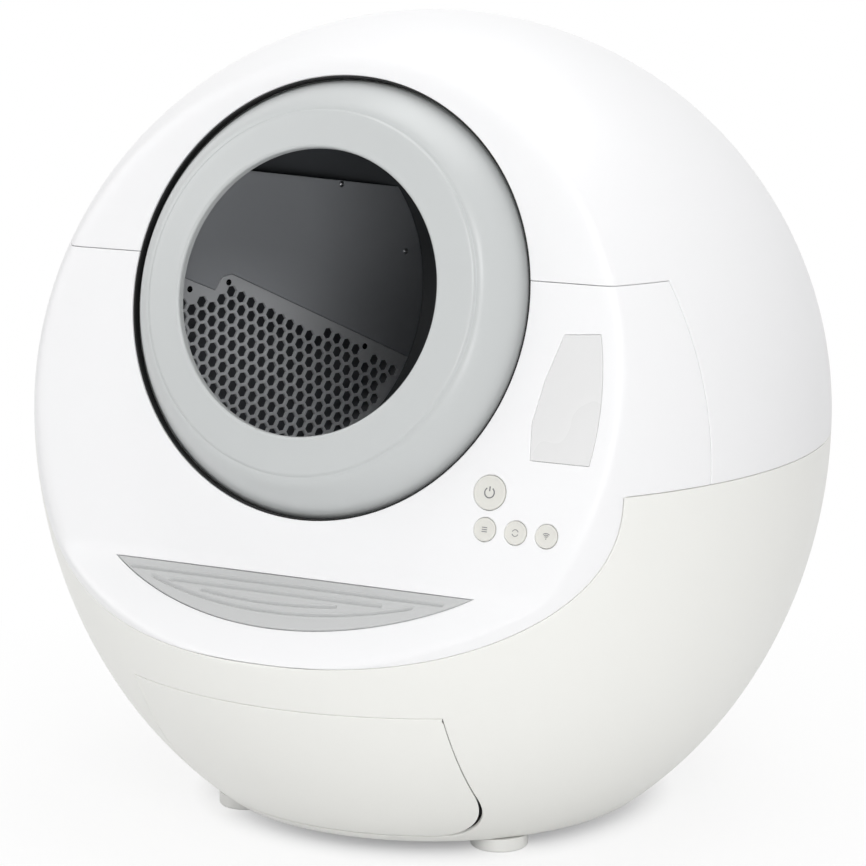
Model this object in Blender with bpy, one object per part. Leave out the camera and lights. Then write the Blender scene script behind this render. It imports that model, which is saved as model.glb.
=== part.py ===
"""Self-cleaning litter box: a ball-shaped housing round a drum that turns on a tilted axis.

Units are metres and +Z is up. The origin is under the middle of the box, on the floor.
The front is towards -Y. The cat enters the drum through the ring in the tilted face,
the drum turns to sift the litter, and waste falls through a port into the drawer.
"""
import math

import bmesh
import bpy
import numpy as np

# Clearances
GAP = 0.0003
SEAM_GAP = 0.0007
BUTTON_CLEARANCE = 0.0004
RING_CLEARANCE = 0.0031
OVERRUN = 0.02

# Housing
BODY_RADIUS = 0.290
BASE_DEPTH = 0.2777
BASE_RADIUS = 0.1606
FOOT_HEIGHT = 0.010
WALL = 0.0035
EQUATOR_DROP = 0.0077
FACE_TILT = 15.29
FACE_DEPTH = 0.1048
FACE_ROUNDING = 0.008
CREASE_DROP = 0.131
CHIN_SLOPE = 41.5
CHIN_ROUNDING = 0.014

# Front panel, seen from the front
PANEL_TOP = 0.1267
PANEL_BACK = 0.117
APRON_HALF_WIDTH = 0.229
APRON_MARGIN = 0.034
APRON_POWER = 2.5

# Drum
RING_RISE = 0.0591
DRUM_FORWARD = 0.030
DRUM_CLEARANCE = 0.0047
DRUM_WALL = 0.003
ENTRY_LIP = 0.002
RING_REACH = 0.0297
RING_BROW = 0.0272
RING_STEP = 0.001
RING_SLOPE_DROP = 0.0035
RING_FLANK = 0.0245
RING_MARGIN = 0.0115
NECK_DEPTH = 0.012
DRUM_SPLIT = 0.060
FRONT_TRACK_PLACE = 0.044
REAR_TRACK_PLACE = 0.060
TRACK_RISE = 0.0004
TRACK_WIDTH = 0.012
PORT_WIDTH = 0.110
PORT_FRONT = 0.032
PORT_BACK = 0.048

# Drum seal
SEAL_THICKNESS = 0.0025
SEAL_WIDTH = 0.0038
SEAL_CLEARANCE = 0.0007
SEAL_SETBACK = 0.0011

# Rear bearing
PIN_RADIUS = 0.005
BUSH_RADIUS = 0.008
HUB_RADIUS = 0.016
HUB_LENGTH = 0.011
HUB_PROUD = 0.002
PIN_ENGAGEMENT = 0.009
PIN_HEAD_RADIUS = 0.008
PIN_HEAD_THICKNESS = 0.003
BRACKET_WIDTH = 0.050
BRACKET_THICKNESS = 0.008
BRACKET_CLEARANCE = 0.003
BRACKET_FOOT = 0.024

# Drive
GEAR_MODULE = 0.006
GEAR_DROP = 0.0355
GEAR_RIM = 0.0125
PINION_TEETH = 8
GEAR_WIDTH = 0.012
PINION_ANGLE = -30
SHAFT_RADIUS = 0.003
MOTOR_RADIUS = 0.018
MOTOR_LENGTH = 0.046
MOTOR_GAP = 0.004
MOTOR_PLATE_THICKNESS = 0.003
MOTOR_PLATE_WIDTH = 0.040

# Rollers
ROLLER_RADIUS = 0.014
ROLLER_WIDTH = 0.012
ROLLER_ANGLE = 38
AXLE_RADIUS = 0.004
YOKE_WIDTH = 0.022
YOKE_CHEEK = 0.003
YOKE_RISE = 0.006
YOKE_SIDE_CLEARANCE = 0.0005
YOKE_FLOOR_CLEARANCE = 0.003

# Sieve and divider, upright across the drum
SEPTUM_TURN = 65
SEPTUM_SETBACK = 0.0475
SEPTUM_THICKNESS = 0.0025
SEPTUM_MARGIN = 0.0016
HOLE_PITCH = 0.0104
HOLE_FLATS = 0.0082
HOLE_MARGIN = 0.0095
HOLE_RIM_MARGIN = 0.0125
HOLE_ANCHOR_ACROSS = 0.0088
HOLE_ANCHOR_DROP = 0.0594
SCREW_RADIUS = 0.0022
SCREW_HEAD = 0.0012
SCREW_SHANK = 0.0013

# Deck and chute
DECK_CLEARANCE = 0.0094
DECK_THICKNESS = 0.0025
LEG_OUTSIDE = 0.008
LEG_ALONG = 0.060
LEG_WIDTH = 0.012
CHUTE_HALF_WIDTH = 0.060
CHUTE_FRONT = 0.125
CHUTE_BACK = 0.020
COLLAR_WALL = 0.0022
COLLAR_FLANGE = 0.003
COLLAR_DEPTH = 0.006
COLLAR_FLANGE_THICKNESS = 0.002

# Floor, feet and scales
FLOOR_THICKNESS = 0.003
FOOT_RADIUS = 0.0205
FOOT_INSET = 0.017
FOOT_CHAMFER = 0.0015
CELL_WIDTH = 0.012
CELL_HEIGHT = 0.008
CELL_INSET = 0.0045

# Drawer
DRAWER_MARGIN = 0.0406
DRAWER_LIP = 0.0060
DRAWER_CORNER = 0.047
BIN_RISE = 0.0100
BIN_CLEARANCE = 0.0097
BIN_CELL_CLEARANCE = 0.0025
BIN_TOP_INSET = 0.008
BIN_BACK = 0.125
BIN_BACK_TAPER = 0.010
BIN_WALL = 0.0025
RUNNER_FRONT = 0.190
RUNNER_BACK = 0.120
RUNNER_INSET = 0.0015
RUNNER_THICKNESS = 0.003
RUNNER_DROP = 0.003
RAIL_INSET = 0.0055
RAIL_HEIGHT = 0.007
FRAME_THICKNESS = 0.003
FRAME_WIDTH = 0.010

# Step pad
PAD_HALF_WIDTH = 0.1384
PAD_SAG = 0.0423
PAD_RECESS = 0.0012
PAD_PROUD = 0.0012
PAD_SETBACK = 0.0020

# Display and buttons, from the middle of the face
DISPLAY_MARGIN = 0.0107
BOARD_THICKNESS = 0.0016
POWER_RADIUS = 0.0115
KEY_RADIUS = 0.00785
KEY_PITCH = 0.0223
KEY_FLANGE = 0.0015
KEY_FLANGE_THICKNESS = 0.0012
KEY_PROUD = 0.0006
KEY_TRAVEL = 0.0015
PEG_RADIUS = 0.002

# Electrics and filter
BOX_ACROSS = 0.130
BOX_ALONG = 0.115
BOX_WIDTH = 0.070
BOX_DEPTH = 0.046
BOX_HEIGHT = 0.018
INLET_DROP = 0.100
INLET_WIDTH = 0.018
INLET_HEIGHT = 0.014
INLET_FLANGE = 0.005
INLET_LENGTH = 0.020
INLET_SET_IN = 0.0035
SOCKET_RADIUS = 0.004
SOCKET_DEPTH = 0.011
FILTER_WIDTH = 0.110
FILTER_DEPTH = 0.084
FILTER_BOTTOM = 0.104
FILTER_TOP = 0.145

# Outlines as shares of the size named after them
DISPLAY_SHARES = ((0.969, 0.231), (0.847, 0.221), (0.800, 0.075), (0.772, -0.066), (0.781, -0.176))
DISPLAY_EDGE_SHARE = 0.996
DISPLAY_BOARD_SHARES = ((0.767, -0.212), (0.922, 0.235))
POWER_SHARES = (0.6588, -0.2871)
KEY_SHARES = (0.6565, -0.4024)
FOOT_SHARES = (0.7173, 0.6964)
SEAM_SHARES = ((-1.15, 0.352), (-0.539, 0.083), (-0.488, 0.156), (-0.417, 0.167), (1.15, -0.600))
CEILING_SHARES = ((-1.15, 0.908), (1.15, 0.537))
SIEVE_SCREW_SHARES = ((-0.721, 0.107), (-0.446, 0.121), (0.551, -0.368))
DIVIDER_SCREW_SHARES = ((0.384, 0.637), (0.868, 0.188))
BUTTON_BOARD_SHARES = ((0.575, -0.224), (0.924, -0.224), (0.924, -0.353), (0.839, -0.461), (0.613, -0.461))
PEG_SHARES = ((0.747, -0.292), (0.603, -0.346), (0.895, -0.316))
TOOTH_SHARES = ((0.30, -1.0), (0.13, 0.8))
FARTHEST_SHARE = 20

# Counts of facets
SHELL_TURNS = 48
INNER_TURNS = 32
DRUM_TURNS = 36
ROUND_TURNS = 14
KEY_TURNS = 18
FOOT_TURNS = 20
SCREW_TURNS = 6
SPHERE_STEP_ANGLE = 11.5
FLANK_STEPS = 4
SMOOTH_ANGLE = 32
EDGE_SEARCH_ANGLE = 60
EDGE_SEARCH_STEPS = 1201
EDGE_ANGLE = 3
OUTER_ROWS = (0, 0.95, 1, 1.17, 1.40, 1.68, 1.90, 2, 2.006, 2.014, 2.05, 2.12, 2.20, 2.28,
              2.36, 2.44, 2.52, 2.60, 2.68, 2.76, 2.84, 2.92, 3)
INNER_ROWS = (0, 0.95, 1, 1.35, 1.80, 2, 2.01, 2.06, 2.16, 2.27, 2.38, 2.49, 2.60, 2.71, 2.82, 2.91, 3)

# Worked out from the sizes above
CENTRE_HEIGHT = BASE_DEPTH + FOOT_HEIGHT
BELLY_DEPTH = BASE_DEPTH / math.sqrt(1 - (BASE_RADIUS / BODY_RADIUS) ** 2)
FACE_DISTANCE = BODY_RADIUS - FACE_DEPTH
FACE_RADIUS = math.sqrt(BODY_RADIUS ** 2 - FACE_DISTANCE ** 2)
NECK_RADIUS = FACE_RADIUS - RING_RISE - RING_CLEARANCE - RING_MARGIN
RING_STEP_RADIUS = NECK_RADIUS - RING_FLANK
ENTRY_RADIUS = RING_STEP_RADIUS - RING_BROW
DISPLAY_RADIUS = FACE_RADIUS - DISPLAY_MARGIN
DRUM_RADIUS = BODY_RADIUS - WALL - DRUM_CLEARANCE - math.hypot(RING_RISE, DRUM_FORWARD)
DRUM_RISE = RING_RISE * math.cos(math.radians(FACE_TILT)) + DRUM_FORWARD * math.sin(math.radians(FACE_TILT))
DECK_DROP = DRUM_RADIUS - DRUM_RISE + DECK_CLEARANCE
APRON_DEPTH = DECK_DROP - APRON_MARGIN
FRONT_TRACK_RADIUS = math.sqrt(DRUM_RADIUS ** 2 - (FRONT_TRACK_PLACE - TRACK_WIDTH / 2) ** 2) + TRACK_RISE
REAR_TRACK_RADIUS = math.sqrt(DRUM_RADIUS ** 2 - (REAR_TRACK_PLACE - TRACK_WIDTH / 2) ** 2) + TRACK_RISE
GEAR_TEETH = round(2 * (DRUM_RADIUS - GEAR_DROP) / GEAR_MODULE)
GEAR_SEAT = GEAR_MODULE * GEAR_TEETH / 2 - GEAR_RIM
GEAR_PLACE = math.sqrt(DRUM_RADIUS ** 2 - (GEAR_SEAT - GAP) ** 2) + GEAR_WIDTH / 2
FOOT_ACROSS, FOOT_ALONG = ((BASE_RADIUS - FOOT_INSET) * share for share in FOOT_SHARES)
DRAWER_HALF_WIDTH = BASE_RADIUS - DRAWER_MARGIN
LEG_ACROSS = DRAWER_HALF_WIDTH + LEG_OUTSIDE
BIN_BOTTOM_HALF_WIDTH = FOOT_ACROSS - CELL_INSET - CELL_WIDTH / 2 - BIN_CELL_CLEARANCE
BIN_TOP_HALF_WIDTH = DRAWER_HALF_WIDTH - BIN_TOP_INSET
BIN_TOP = -DECK_DROP - BIN_CLEARANCE
RUNNER_HALF_WIDTH = DRAWER_HALF_WIDTH - RUNNER_INSET
SEPTUM_OFFSET = DRUM_RADIUS - SEPTUM_SETBACK
SEPTUM_RADIUS = math.sqrt((DRUM_RADIUS - DRUM_WALL) ** 2 - SEPTUM_OFFSET ** 2) - SEPTUM_MARGIN


def clear_scene():
    """Starts from an empty file."""
    for item in list(bpy.data.objects):
        bpy.data.objects.remove(item, do_unlink=True)


def finish(name, colour, roughness, metallic=0.0):
    """A Principled material in a plain colour."""
    material = bpy.data.materials.new(name)
    material.use_nodes = True
    shader = material.node_tree.nodes["Principled BSDF"]
    shader.inputs["Base Color"].default_value = (*colour, 1.0)
    shader.inputs["Roughness"].default_value = roughness
    shader.inputs["Metallic"].default_value = metallic
    return material


def frame(name, parent=None, place=(0, 0, 0), turn=(0, 0, 0)):
    """An empty that carries pieces; its turn is in degrees about X, Y and Z."""
    empty = bpy.data.objects.new(name, None)
    bpy.context.scene.collection.objects.link(empty)
    empty.parent = parent
    empty.location = place
    empty.rotation_euler = [math.radians(angle) for angle in turn]
    return empty


def piece(name, mesh, material, parent, place=(0, 0, 0)):
    """A named solid of the model, standing at its own origin."""
    item = bpy.data.objects.new(name, mesh)
    bpy.context.scene.collection.objects.link(item)
    item.parent = parent
    item.location = place
    mesh.materials.clear()
    mesh.materials.append(material)
    return item


def cutter(name, mesh, parent, place=(0, 0, 0)):
    """A shape that only cuts or joins other pieces."""
    item = bpy.data.objects.new(name, mesh)
    bpy.context.scene.collection.objects.link(item)
    item.parent = parent
    item.location = place
    item.hide_render = True
    item.display_type = "WIRE"
    return item


def cut_prism(name, outline, low, high, parent, upright=False):
    """A prism that only cuts or joins other pieces."""
    return cutter(name, prism(name, outline, low, high, upright), parent)


def cut_box(name, low, high, parent, place=(0, 0, 0)):
    """A block that only cuts or joins other pieces."""
    return cutter(name, box(name, low, high), parent, place)


def cut_bar(name, radius, low, high, count, parent):
    """A round bar that only cuts or joins other pieces."""
    return cutter(name, cylinder(name, radius, low, high, count), parent)


def cut_prisms(name, outlines, low, high, parent):
    """Several separate prisms in one cutter."""
    return cutter(name, many_prisms(name, outlines, low, high), parent)


def combine(item, other, operation="DIFFERENCE"):
    """Adds a live Boolean to a piece."""
    modifier = item.modifiers.new(other.name, "BOOLEAN")
    modifier.operation = operation
    modifier.object = other
    modifier.solver = "EXACT"
    return item


def grown(outline, grow):
    """An outline with every edge moved out by the same distance, whichever way it runs."""
    count = len(outline)
    area = 0
    for (x0, y0), (x1, y1) in zip(outline, outline[1:] + outline[:1]):
        area += x0 * y1 - x1 * y0
    side = math.copysign(1, area)
    moved = []
    for index in range(count):
        before, here, after = outline[index - 1], outline[index], outline[(index + 1) % count]
        first = math.atan2(here[1] - before[1], here[0] - before[0])
        second = math.atan2(after[1] - here[1], after[0] - here[0])
        half_turn = (second - first + math.pi) % (2 * math.pi) / 2 - math.pi / 2
        middle = first + half_turn
        reach = side * grow / math.cos(half_turn)
        moved.append((here[0] + reach * math.sin(middle), here[1] - reach * math.cos(middle)))
    return moved


def mesh_from(name, points, faces, smooth=None):
    """A closed mesh with its faces turned outwards."""
    mesh = bpy.data.meshes.new(name)
    mesh.from_pydata([tuple(map(float, point)) for point in points], [], faces)
    work = bmesh.new()
    work.from_mesh(mesh)
    bmesh.ops.recalc_face_normals(work, faces=work.faces)
    work.to_mesh(mesh)
    work.free()
    if smooth is not None:
        mesh.shade_smooth()
        mesh.set_sharp_from_angle(angle=math.radians(smooth))
    return mesh


def prism(name, outline, low, high, upright=False):
    """An outline drawn in X and Y and raised along Z; upright draws it in X and Z, along Y."""
    count = len(outline)
    points = [(across, along, level) for level in (low, high) for across, along in outline]
    if upright:
        points = [(across, level, along) for across, along, level in points]
    faces = [tuple(range(count)), tuple(range(count, 2 * count))]
    for index in range(count):
        following = (index + 1) % count
        faces.append((index, following, following + count, index + count))
    return mesh_from(name, points, faces)


def box(name, low, high):
    """A block between two corners."""
    outline = [(low[0], low[1]), (high[0], low[1]), (high[0], high[1]), (low[0], high[1])]
    return prism(name, outline, low[2], high[2])


def circle(radius, count, centre=(0, 0), start=0.0):
    """Points evenly round a circle."""
    angles = [start + 2 * math.pi * index / count for index in range(count)]
    return [(centre[0] + radius * math.cos(a), centre[1] + radius * math.sin(a)) for a in angles]


def cylinder(name, radius, low, high, count):
    """A round bar along Z."""
    return prism(name, circle(radius, count), low, high)


def turned(name, profile, count):
    """A closed profile of radius and height carried round Z; a zero radius becomes a pole."""
    points = []
    rows = []
    for radius, height in profile:
        if radius == 0:
            rows.append([len(points)] * count)
            points.append((0, 0, height))
        else:
            rows.append(list(range(len(points), len(points) + count)))
            points += [(x, y, height) for x, y in circle(radius, count)]
    faces = []
    for index, row in enumerate(rows):
        following = rows[(index + 1) % len(rows)]
        if row[0] == row[1] and following[0] == following[1]:
            continue
        for turn in range(count):
            ahead = (turn + 1) % count
            corners = (row[turn], row[ahead], following[ahead], following[turn])
            faces.append(tuple(dict.fromkeys(corners)))
    return mesh_from(name, points, faces, SMOOTH_ANGLE)


def smaller(first, second, rounding):
    """The lesser of two sizes, rounded where they meet."""
    share = np.clip((second - first) / rounding / 2 + 1 / 2, 0, 1)
    return second + (first - second) * share - rounding * share * (1 - share)


def larger(first, second, rounding):
    """The greater of two sizes, rounded where they meet."""
    return -smaller(-first, -second, rounding)


def face_normal():
    """Out of the tilted face."""
    tilt = math.radians(FACE_TILT)
    return np.array([0, -math.cos(tilt), math.sin(tilt)])


def face_up():
    """Up along the tilted face."""
    tilt = math.radians(FACE_TILT)
    return np.array([0, math.sin(tilt), math.cos(tilt)])


def crease_point():
    """Middle of the line where the chin leaves the face."""
    return face_normal() * FACE_DISTANCE - face_up() * CREASE_DROP


def drum_centre():
    """Middle of the drum, from the middle of the body."""
    return face_up() * RING_RISE + face_normal() * DRUM_FORWARD


def chin_normal():
    """Out of the chin."""
    slope = math.radians(CHIN_SLOPE)
    return np.array([0, -math.sin(slope), math.cos(slope)])


def reach_along(normal, distance, directions):
    """How far each direction runs before it meets a plane."""
    facing = directions @ normal
    ahead = np.maximum(facing, distance / BODY_RADIUS / FARTHEST_SHARE)
    return distance / ahead


def ball_reach(directions, inset):
    """How far each direction runs to the ball, or below the centre to the deeper belly."""
    radius = BODY_RADIUS - inset
    depth = np.where(directions[..., 2] < 0, BELLY_DEPTH - inset, radius)
    flat = (directions[..., 0] ** 2 + directions[..., 1] ** 2) / radius ** 2
    return 1 / np.sqrt(flat + directions[..., 2] ** 2 / depth ** 2)


def front_reaches(directions, inset):
    """How far each direction runs to the plane of the face, and to the plane of the chin."""
    face = reach_along(face_normal(), FACE_DISTANCE - inset, directions)
    chin_distance = float(chin_normal() @ crease_point()) - inset
    return face, reach_along(chin_normal(), chin_distance, directions)


def directions_at(tilt, turn):
    """Directions by their tilt from the face's normal and their turn round it, in radians."""
    sideways = np.array([1, 0, 0])
    return (np.cos(tilt)[..., None] * face_normal()
            + (np.sin(tilt) * np.cos(turn))[..., None] * sideways
            + (np.sin(tilt) * np.sin(turn))[..., None] * face_up())


def edge_tilts(turn, inset):
    """Two tilts for each turn: where the flat face ends, and where the ball begins."""
    tilt = np.radians(np.linspace(0, EDGE_SEARCH_ANGLE, EDGE_SEARCH_STEPS))
    directions = directions_at(tilt[:, None], turn[None, :])
    face, chin = front_reaches(directions, inset)
    rim = tilt[np.argmax(np.maximum(face, chin) > ball_reach(directions, inset), axis=0)]
    crease = np.argmax(chin > face, axis=0)
    latest = rim - math.radians(EDGE_ANGLE)
    return np.where(crease > 0, np.minimum(tilt[crease], latest), latest), rim


def envelope(name, inset, turns=INNER_TURNS, rows=INNER_ROWS):
    """The housing's outer form, moved in by an inset.

    Each direction from the centre runs out to the ball, or below the centre to the deeper
    belly, unless the face or the chin stops it first. The grid's pole is the face's normal,
    and its rows follow the crease of the chin and the rim of the face.
    """
    turn = 2 * np.pi * np.arange(turns) / turns
    crease, rim = edge_tilts(turn, inset)
    tilt = np.array([np.interp(rows, range(4), (0, near, far, math.pi))
                     for near, far in zip(crease, rim)]).T
    directions = directions_at(tilt, turn[None, :])
    front = larger(*front_reaches(directions, inset), CHIN_ROUNDING)
    distance = smaller(ball_reach(directions, inset), front, FACE_ROUNDING)
    grid = directions * distance[..., None]
    points = [tuple(grid[0, 0])]
    for row in grid[1:-1]:
        points += [tuple(point) for point in row]
    points.append(tuple(grid[-1, 0]))
    faces = []
    last = len(points) - 1
    final = last - turns
    for here in range(turns):
        ahead = (here + 1) % turns
        faces.append((0, 1 + here, 1 + ahead))
        on_right = math.cos((here + 1 / 2) / turns * 2 * math.pi) > 0
        left, right = (here, ahead) if on_right else (ahead, here)
        for near in range(1, final, turns):
            far = near + turns
            faces.append((near + left, far + left, far + right))
            faces.append((near + left, far + right, near + right))
        faces.append((final + here, last, final + ahead))
    return mesh_from(name, points, faces, SMOOTH_ANGLE)


def belly_radius(drop):
    """Radius of the belly at a distance below the centre."""
    share = drop / BELLY_DEPTH
    return BODY_RADIUS * math.sqrt(1 - share ** 2)


def panel_outline():
    """Front view of the front panel: a band between the ears over a rounded apron."""
    side = BODY_RADIUS + OVERRUN
    start = math.asin((EQUATOR_DROP / APRON_DEPTH) ** (APRON_POWER / 2))
    steps = 26
    outline = [(-side, PANEL_TOP), (side, PANEL_TOP), (side, -EQUATOR_DROP)]
    for step in range(steps + 1):
        angle = start + (math.pi - 2 * start) * step / steps
        across = math.copysign(abs(math.cos(angle)) ** (2 / APRON_POWER), math.cos(angle))
        drop = math.sin(angle) ** (2 / APRON_POWER)
        outline.append((APRON_HALF_WIDTH * across, -APRON_DEPTH * drop))
    outline.append((-side, -EQUATOR_DROP))
    return outline


def drawer_outline():
    """Front view of the drawer: square top corners and rounded bottom ones."""
    middle = DRAWER_HALF_WIDTH - DRAWER_CORNER
    level = DRAWER_CORNER + DRAWER_LIP - BASE_DEPTH
    steps = 8
    outline = [(-DRAWER_HALF_WIDTH, -DECK_DROP), (DRAWER_HALF_WIDTH, -DECK_DROP)]
    for side, start in ((1, 0), (-1, -math.pi / 2)):
        for step in range(steps + 1):
            angle = start - math.pi / 2 * step / steps
            across = side * middle + DRAWER_CORNER * math.cos(angle)
            outline.append((across, level + DRAWER_CORNER * math.sin(angle)))
    return outline


def display_outline():
    """The display on the face: its left side is waisted and its right side follows the rim."""
    points = [(DISPLAY_RADIUS * across, DISPLAY_RADIUS * rise) for across, rise in DISPLAY_SHARES]
    steps = 4
    low, high = DISPLAY_SHARES[-1][1], DISPLAY_SHARES[0][1]
    for step in range(steps):
        rise = low + (high - low) * step / steps
        across = math.sqrt(DISPLAY_EDGE_SHARE ** 2 - rise ** 2)
        points.append((DISPLAY_RADIUS * across, DISPLAY_RADIUS * rise))
    return points


def pad_outline():
    """The crescent pad, with its straight edge just under the crease."""
    arc_radius = (PAD_HALF_WIDTH ** 2 + PAD_SAG ** 2) / PAD_SAG / 2
    half_angle = math.asin(PAD_HALF_WIDTH / arc_radius)
    steps = 16
    outline = []
    for step in range(steps + 1):
        angle = -half_angle + 2 * half_angle * step / steps
        drop = arc_radius * math.cos(angle) - (arc_radius - PAD_SAG)
        outline.append((arc_radius * math.sin(angle), -PAD_SETBACK - drop))
    return outline


def sphere_profile(radius, start, end):
    """Points on a sphere's profile between two heights."""
    low = math.asin(start / radius)
    high = math.asin(end / radius)
    steps = math.ceil(abs(high - low) / math.radians(SPHERE_STEP_ANGLE))
    angles = [low + (high - low) * step / steps for step in range(steps + 1)]
    return [(radius * math.cos(a), radius * math.sin(a)) for a in angles]


def track_profile(place, radius):
    """A rim that rollers run on."""
    half = TRACK_WIDTH / 2
    return [(radius, place - half), (radius, place + half)]


def flank_profile(inset, steps):
    """The ring's bulging flank, from the neck to the step."""
    base = FACE_DISTANCE - DRUM_FORWARD
    foot = NECK_RADIUS - inset
    height = RING_REACH - RING_SLOPE_DROP - RING_STEP - inset
    points = []
    for step in range(steps + 1):
        angle = math.pi / 2 * step / steps
        spread = (foot - RING_STEP_RADIUS) * math.cos(angle)
        points.append((RING_STEP_RADIUS + spread, base + height * math.sin(angle)))
    return points


def drum_front_profile():
    """Front part of the drum: a zone of the ball, a neck and the ring round the entry."""
    inner = DRUM_RADIUS - DRUM_WALL
    split = DRUM_SPLIT + GAP / 2
    base = FACE_DISTANCE - DRUM_FORWARD
    shoulder = base - NECK_DEPTH
    brow = base + RING_REACH - RING_SLOPE_DROP
    outer = sphere_profile(DRUM_RADIUS, split, shoulder)
    outer += [(NECK_RADIUS, shoulder)]
    outer += flank_profile(0, FLANK_STEPS)
    outer += [(RING_STEP_RADIUS - RING_STEP, brow), (ENTRY_RADIUS + ENTRY_LIP, base + RING_REACH)]
    outer += [(ENTRY_RADIUS, base + RING_REACH - ENTRY_LIP)]
    back = [(ENTRY_RADIUS, brow - DRUM_WALL), (RING_STEP_RADIUS - RING_STEP, brow - DRUM_WALL - RING_STEP)]
    back += flank_profile(DRUM_WALL, FLANK_STEPS // 2)[::-1][1:]
    back += [(NECK_RADIUS - DRUM_WALL, shoulder)]
    back += sphere_profile(inner, split, shoulder - DRUM_WALL)[::-1]
    return outer + back


def drum_rear_profile():
    """Back part of the drum: a deep bowl with two tracks and a hub for its bush."""
    inner = DRUM_RADIUS - DRUM_WALL
    split = DRUM_SPLIT - GAP / 2
    half = TRACK_WIDTH / 2
    tail = -DRUM_RADIUS - HUB_PROUD
    bore = BUSH_RADIUS + GAP
    outer_end = -math.sqrt(DRUM_RADIUS ** 2 - HUB_RADIUS ** 2)
    inner_end = -math.sqrt(inner ** 2 - HUB_RADIUS ** 2)
    outer = sphere_profile(DRUM_RADIUS, split, FRONT_TRACK_PLACE + half)
    outer += track_profile(FRONT_TRACK_PLACE, FRONT_TRACK_RADIUS)[::-1]
    outer += sphere_profile(DRUM_RADIUS, FRONT_TRACK_PLACE - half, -REAR_TRACK_PLACE + half)
    outer += track_profile(-REAR_TRACK_PLACE, REAR_TRACK_RADIUS)[::-1]
    outer += sphere_profile(DRUM_RADIUS, -REAR_TRACK_PLACE - half, outer_end)
    hub = [(HUB_RADIUS, tail), (bore, tail), (bore, tail + HUB_LENGTH), (HUB_RADIUS, tail + HUB_LENGTH)]
    return outer + hub + sphere_profile(inner, inner_end, split)


def drum_hollow_profile():
    """The room inside the drum, its gap inside the drum's own facets."""
    inner = DRUM_RADIUS - DRUM_WALL
    shrink = (inner - GAP) / inner
    inner_end = -math.sqrt(inner ** 2 - HUB_RADIUS ** 2)
    shoulder = FACE_DISTANCE - DRUM_FORWARD - NECK_DEPTH - DRUM_WALL
    rows = sphere_profile(inner, inner_end, DRUM_SPLIT - GAP / 2)
    rows += sphere_profile(inner, DRUM_SPLIT + GAP / 2, shoulder)
    rows = [(radius * shrink, height * shrink) for radius, height in rows]
    return [(0, rows[0][1])] + rows + [(0, rows[-1][1])]


def gear_outline(teeth, phase):
    """A toothed outline with straight flanks; the phase turns it in tooth pitches."""
    pitch_radius = GEAR_MODULE * teeth / 2
    pitch_angle = 2 * math.pi / teeth
    outline = []
    for tooth in range(teeth):
        middle = (tooth + phase) * pitch_angle
        for side, shares in ((-1, TOOTH_SHARES), (1, TOOTH_SHARES[::-1])):
            for half_share, height_share in shares:
                angle = middle + side * half_share * pitch_angle
                radius = pitch_radius + height_share * GEAR_MODULE
                outline.append((radius * math.cos(angle), radius * math.sin(angle)))
    return outline


def hexagon(radius, centre):
    """A hexagon with a flat top."""
    return circle(radius, 6, centre)


def seam_points():
    """The seam between the sieve and the divider, in the septum's plane."""
    return [(SEPTUM_RADIUS * across, SEPTUM_RADIUS * rise) for across, rise in SEAM_SHARES]


def distance_to_seam(point):
    """How far a point lies from the seam; negative above it."""
    best = SEPTUM_RADIUS
    corners = seam_points()
    above = False
    for (x0, y0), (x1, y1) in zip(corners[:-1], corners[1:]):
        length = math.hypot(x1 - x0, y1 - y0)
        along = ((point[0] - x0) * (x1 - x0) + (point[1] - y0) * (y1 - y0)) / length ** 2
        along = min(max(along, 0), 1)
        nearest = (x0 + (x1 - x0) * along, y0 + (y1 - y0) * along)
        best = min(best, math.hypot(point[0] - nearest[0], point[1] - nearest[1]))
        if x0 <= point[0] < x1 and point[1] > y0 + (y1 - y0) * (point[0] - x0) / (x1 - x0):
            above = True
    return -best if above else best


def sieve_holes():
    """Centres of the holes: a honeycomb with upright columns, kept off the rim, seam and screws."""
    column = HOLE_PITCH * math.sqrt(3) / 2
    reach = int(2 * SEPTUM_RADIUS / HOLE_PITCH)
    screws = [(SEPTUM_RADIUS * across, SEPTUM_RADIUS * rise) for across, rise in SIEVE_SCREW_SHARES]
    centres = []
    for i in range(-reach, reach + 1):
        for j in range(-reach, reach + 1):
            across = HOLE_ANCHOR_ACROSS + i * column
            rise = -HOLE_ANCHOR_DROP + (j + (i % 2) / 2) * HOLE_PITCH
            inside = math.hypot(across, rise) < SEPTUM_RADIUS - HOLE_RIM_MARGIN
            clear = HOLE_MARGIN - SCREW_RADIUS
            near_screw = any(math.hypot(across - x, rise - y) < clear for x, y in screws)
            if inside and not near_screw and distance_to_seam((across, rise)) > HOLE_MARGIN:
                centres.append((across, rise))
    return centres


def many_prisms(name, outlines, low, high):
    """Several separate prisms in one cutter."""
    points = []
    faces = []
    for outline in outlines:
        first = len(points)
        count = len(outline)
        points += [(x, y, level) for level in (low, high) for x, y in outline]
        faces.append(tuple(first + index for index in range(count)))
        faces.append(tuple(first + count + index for index in range(count)))
        for index in range(count):
            following = (index + 1) % count
            faces.append((first + index, first + following,
                          first + following + count, first + index + count))
    return mesh_from(name, points, faces)


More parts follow.
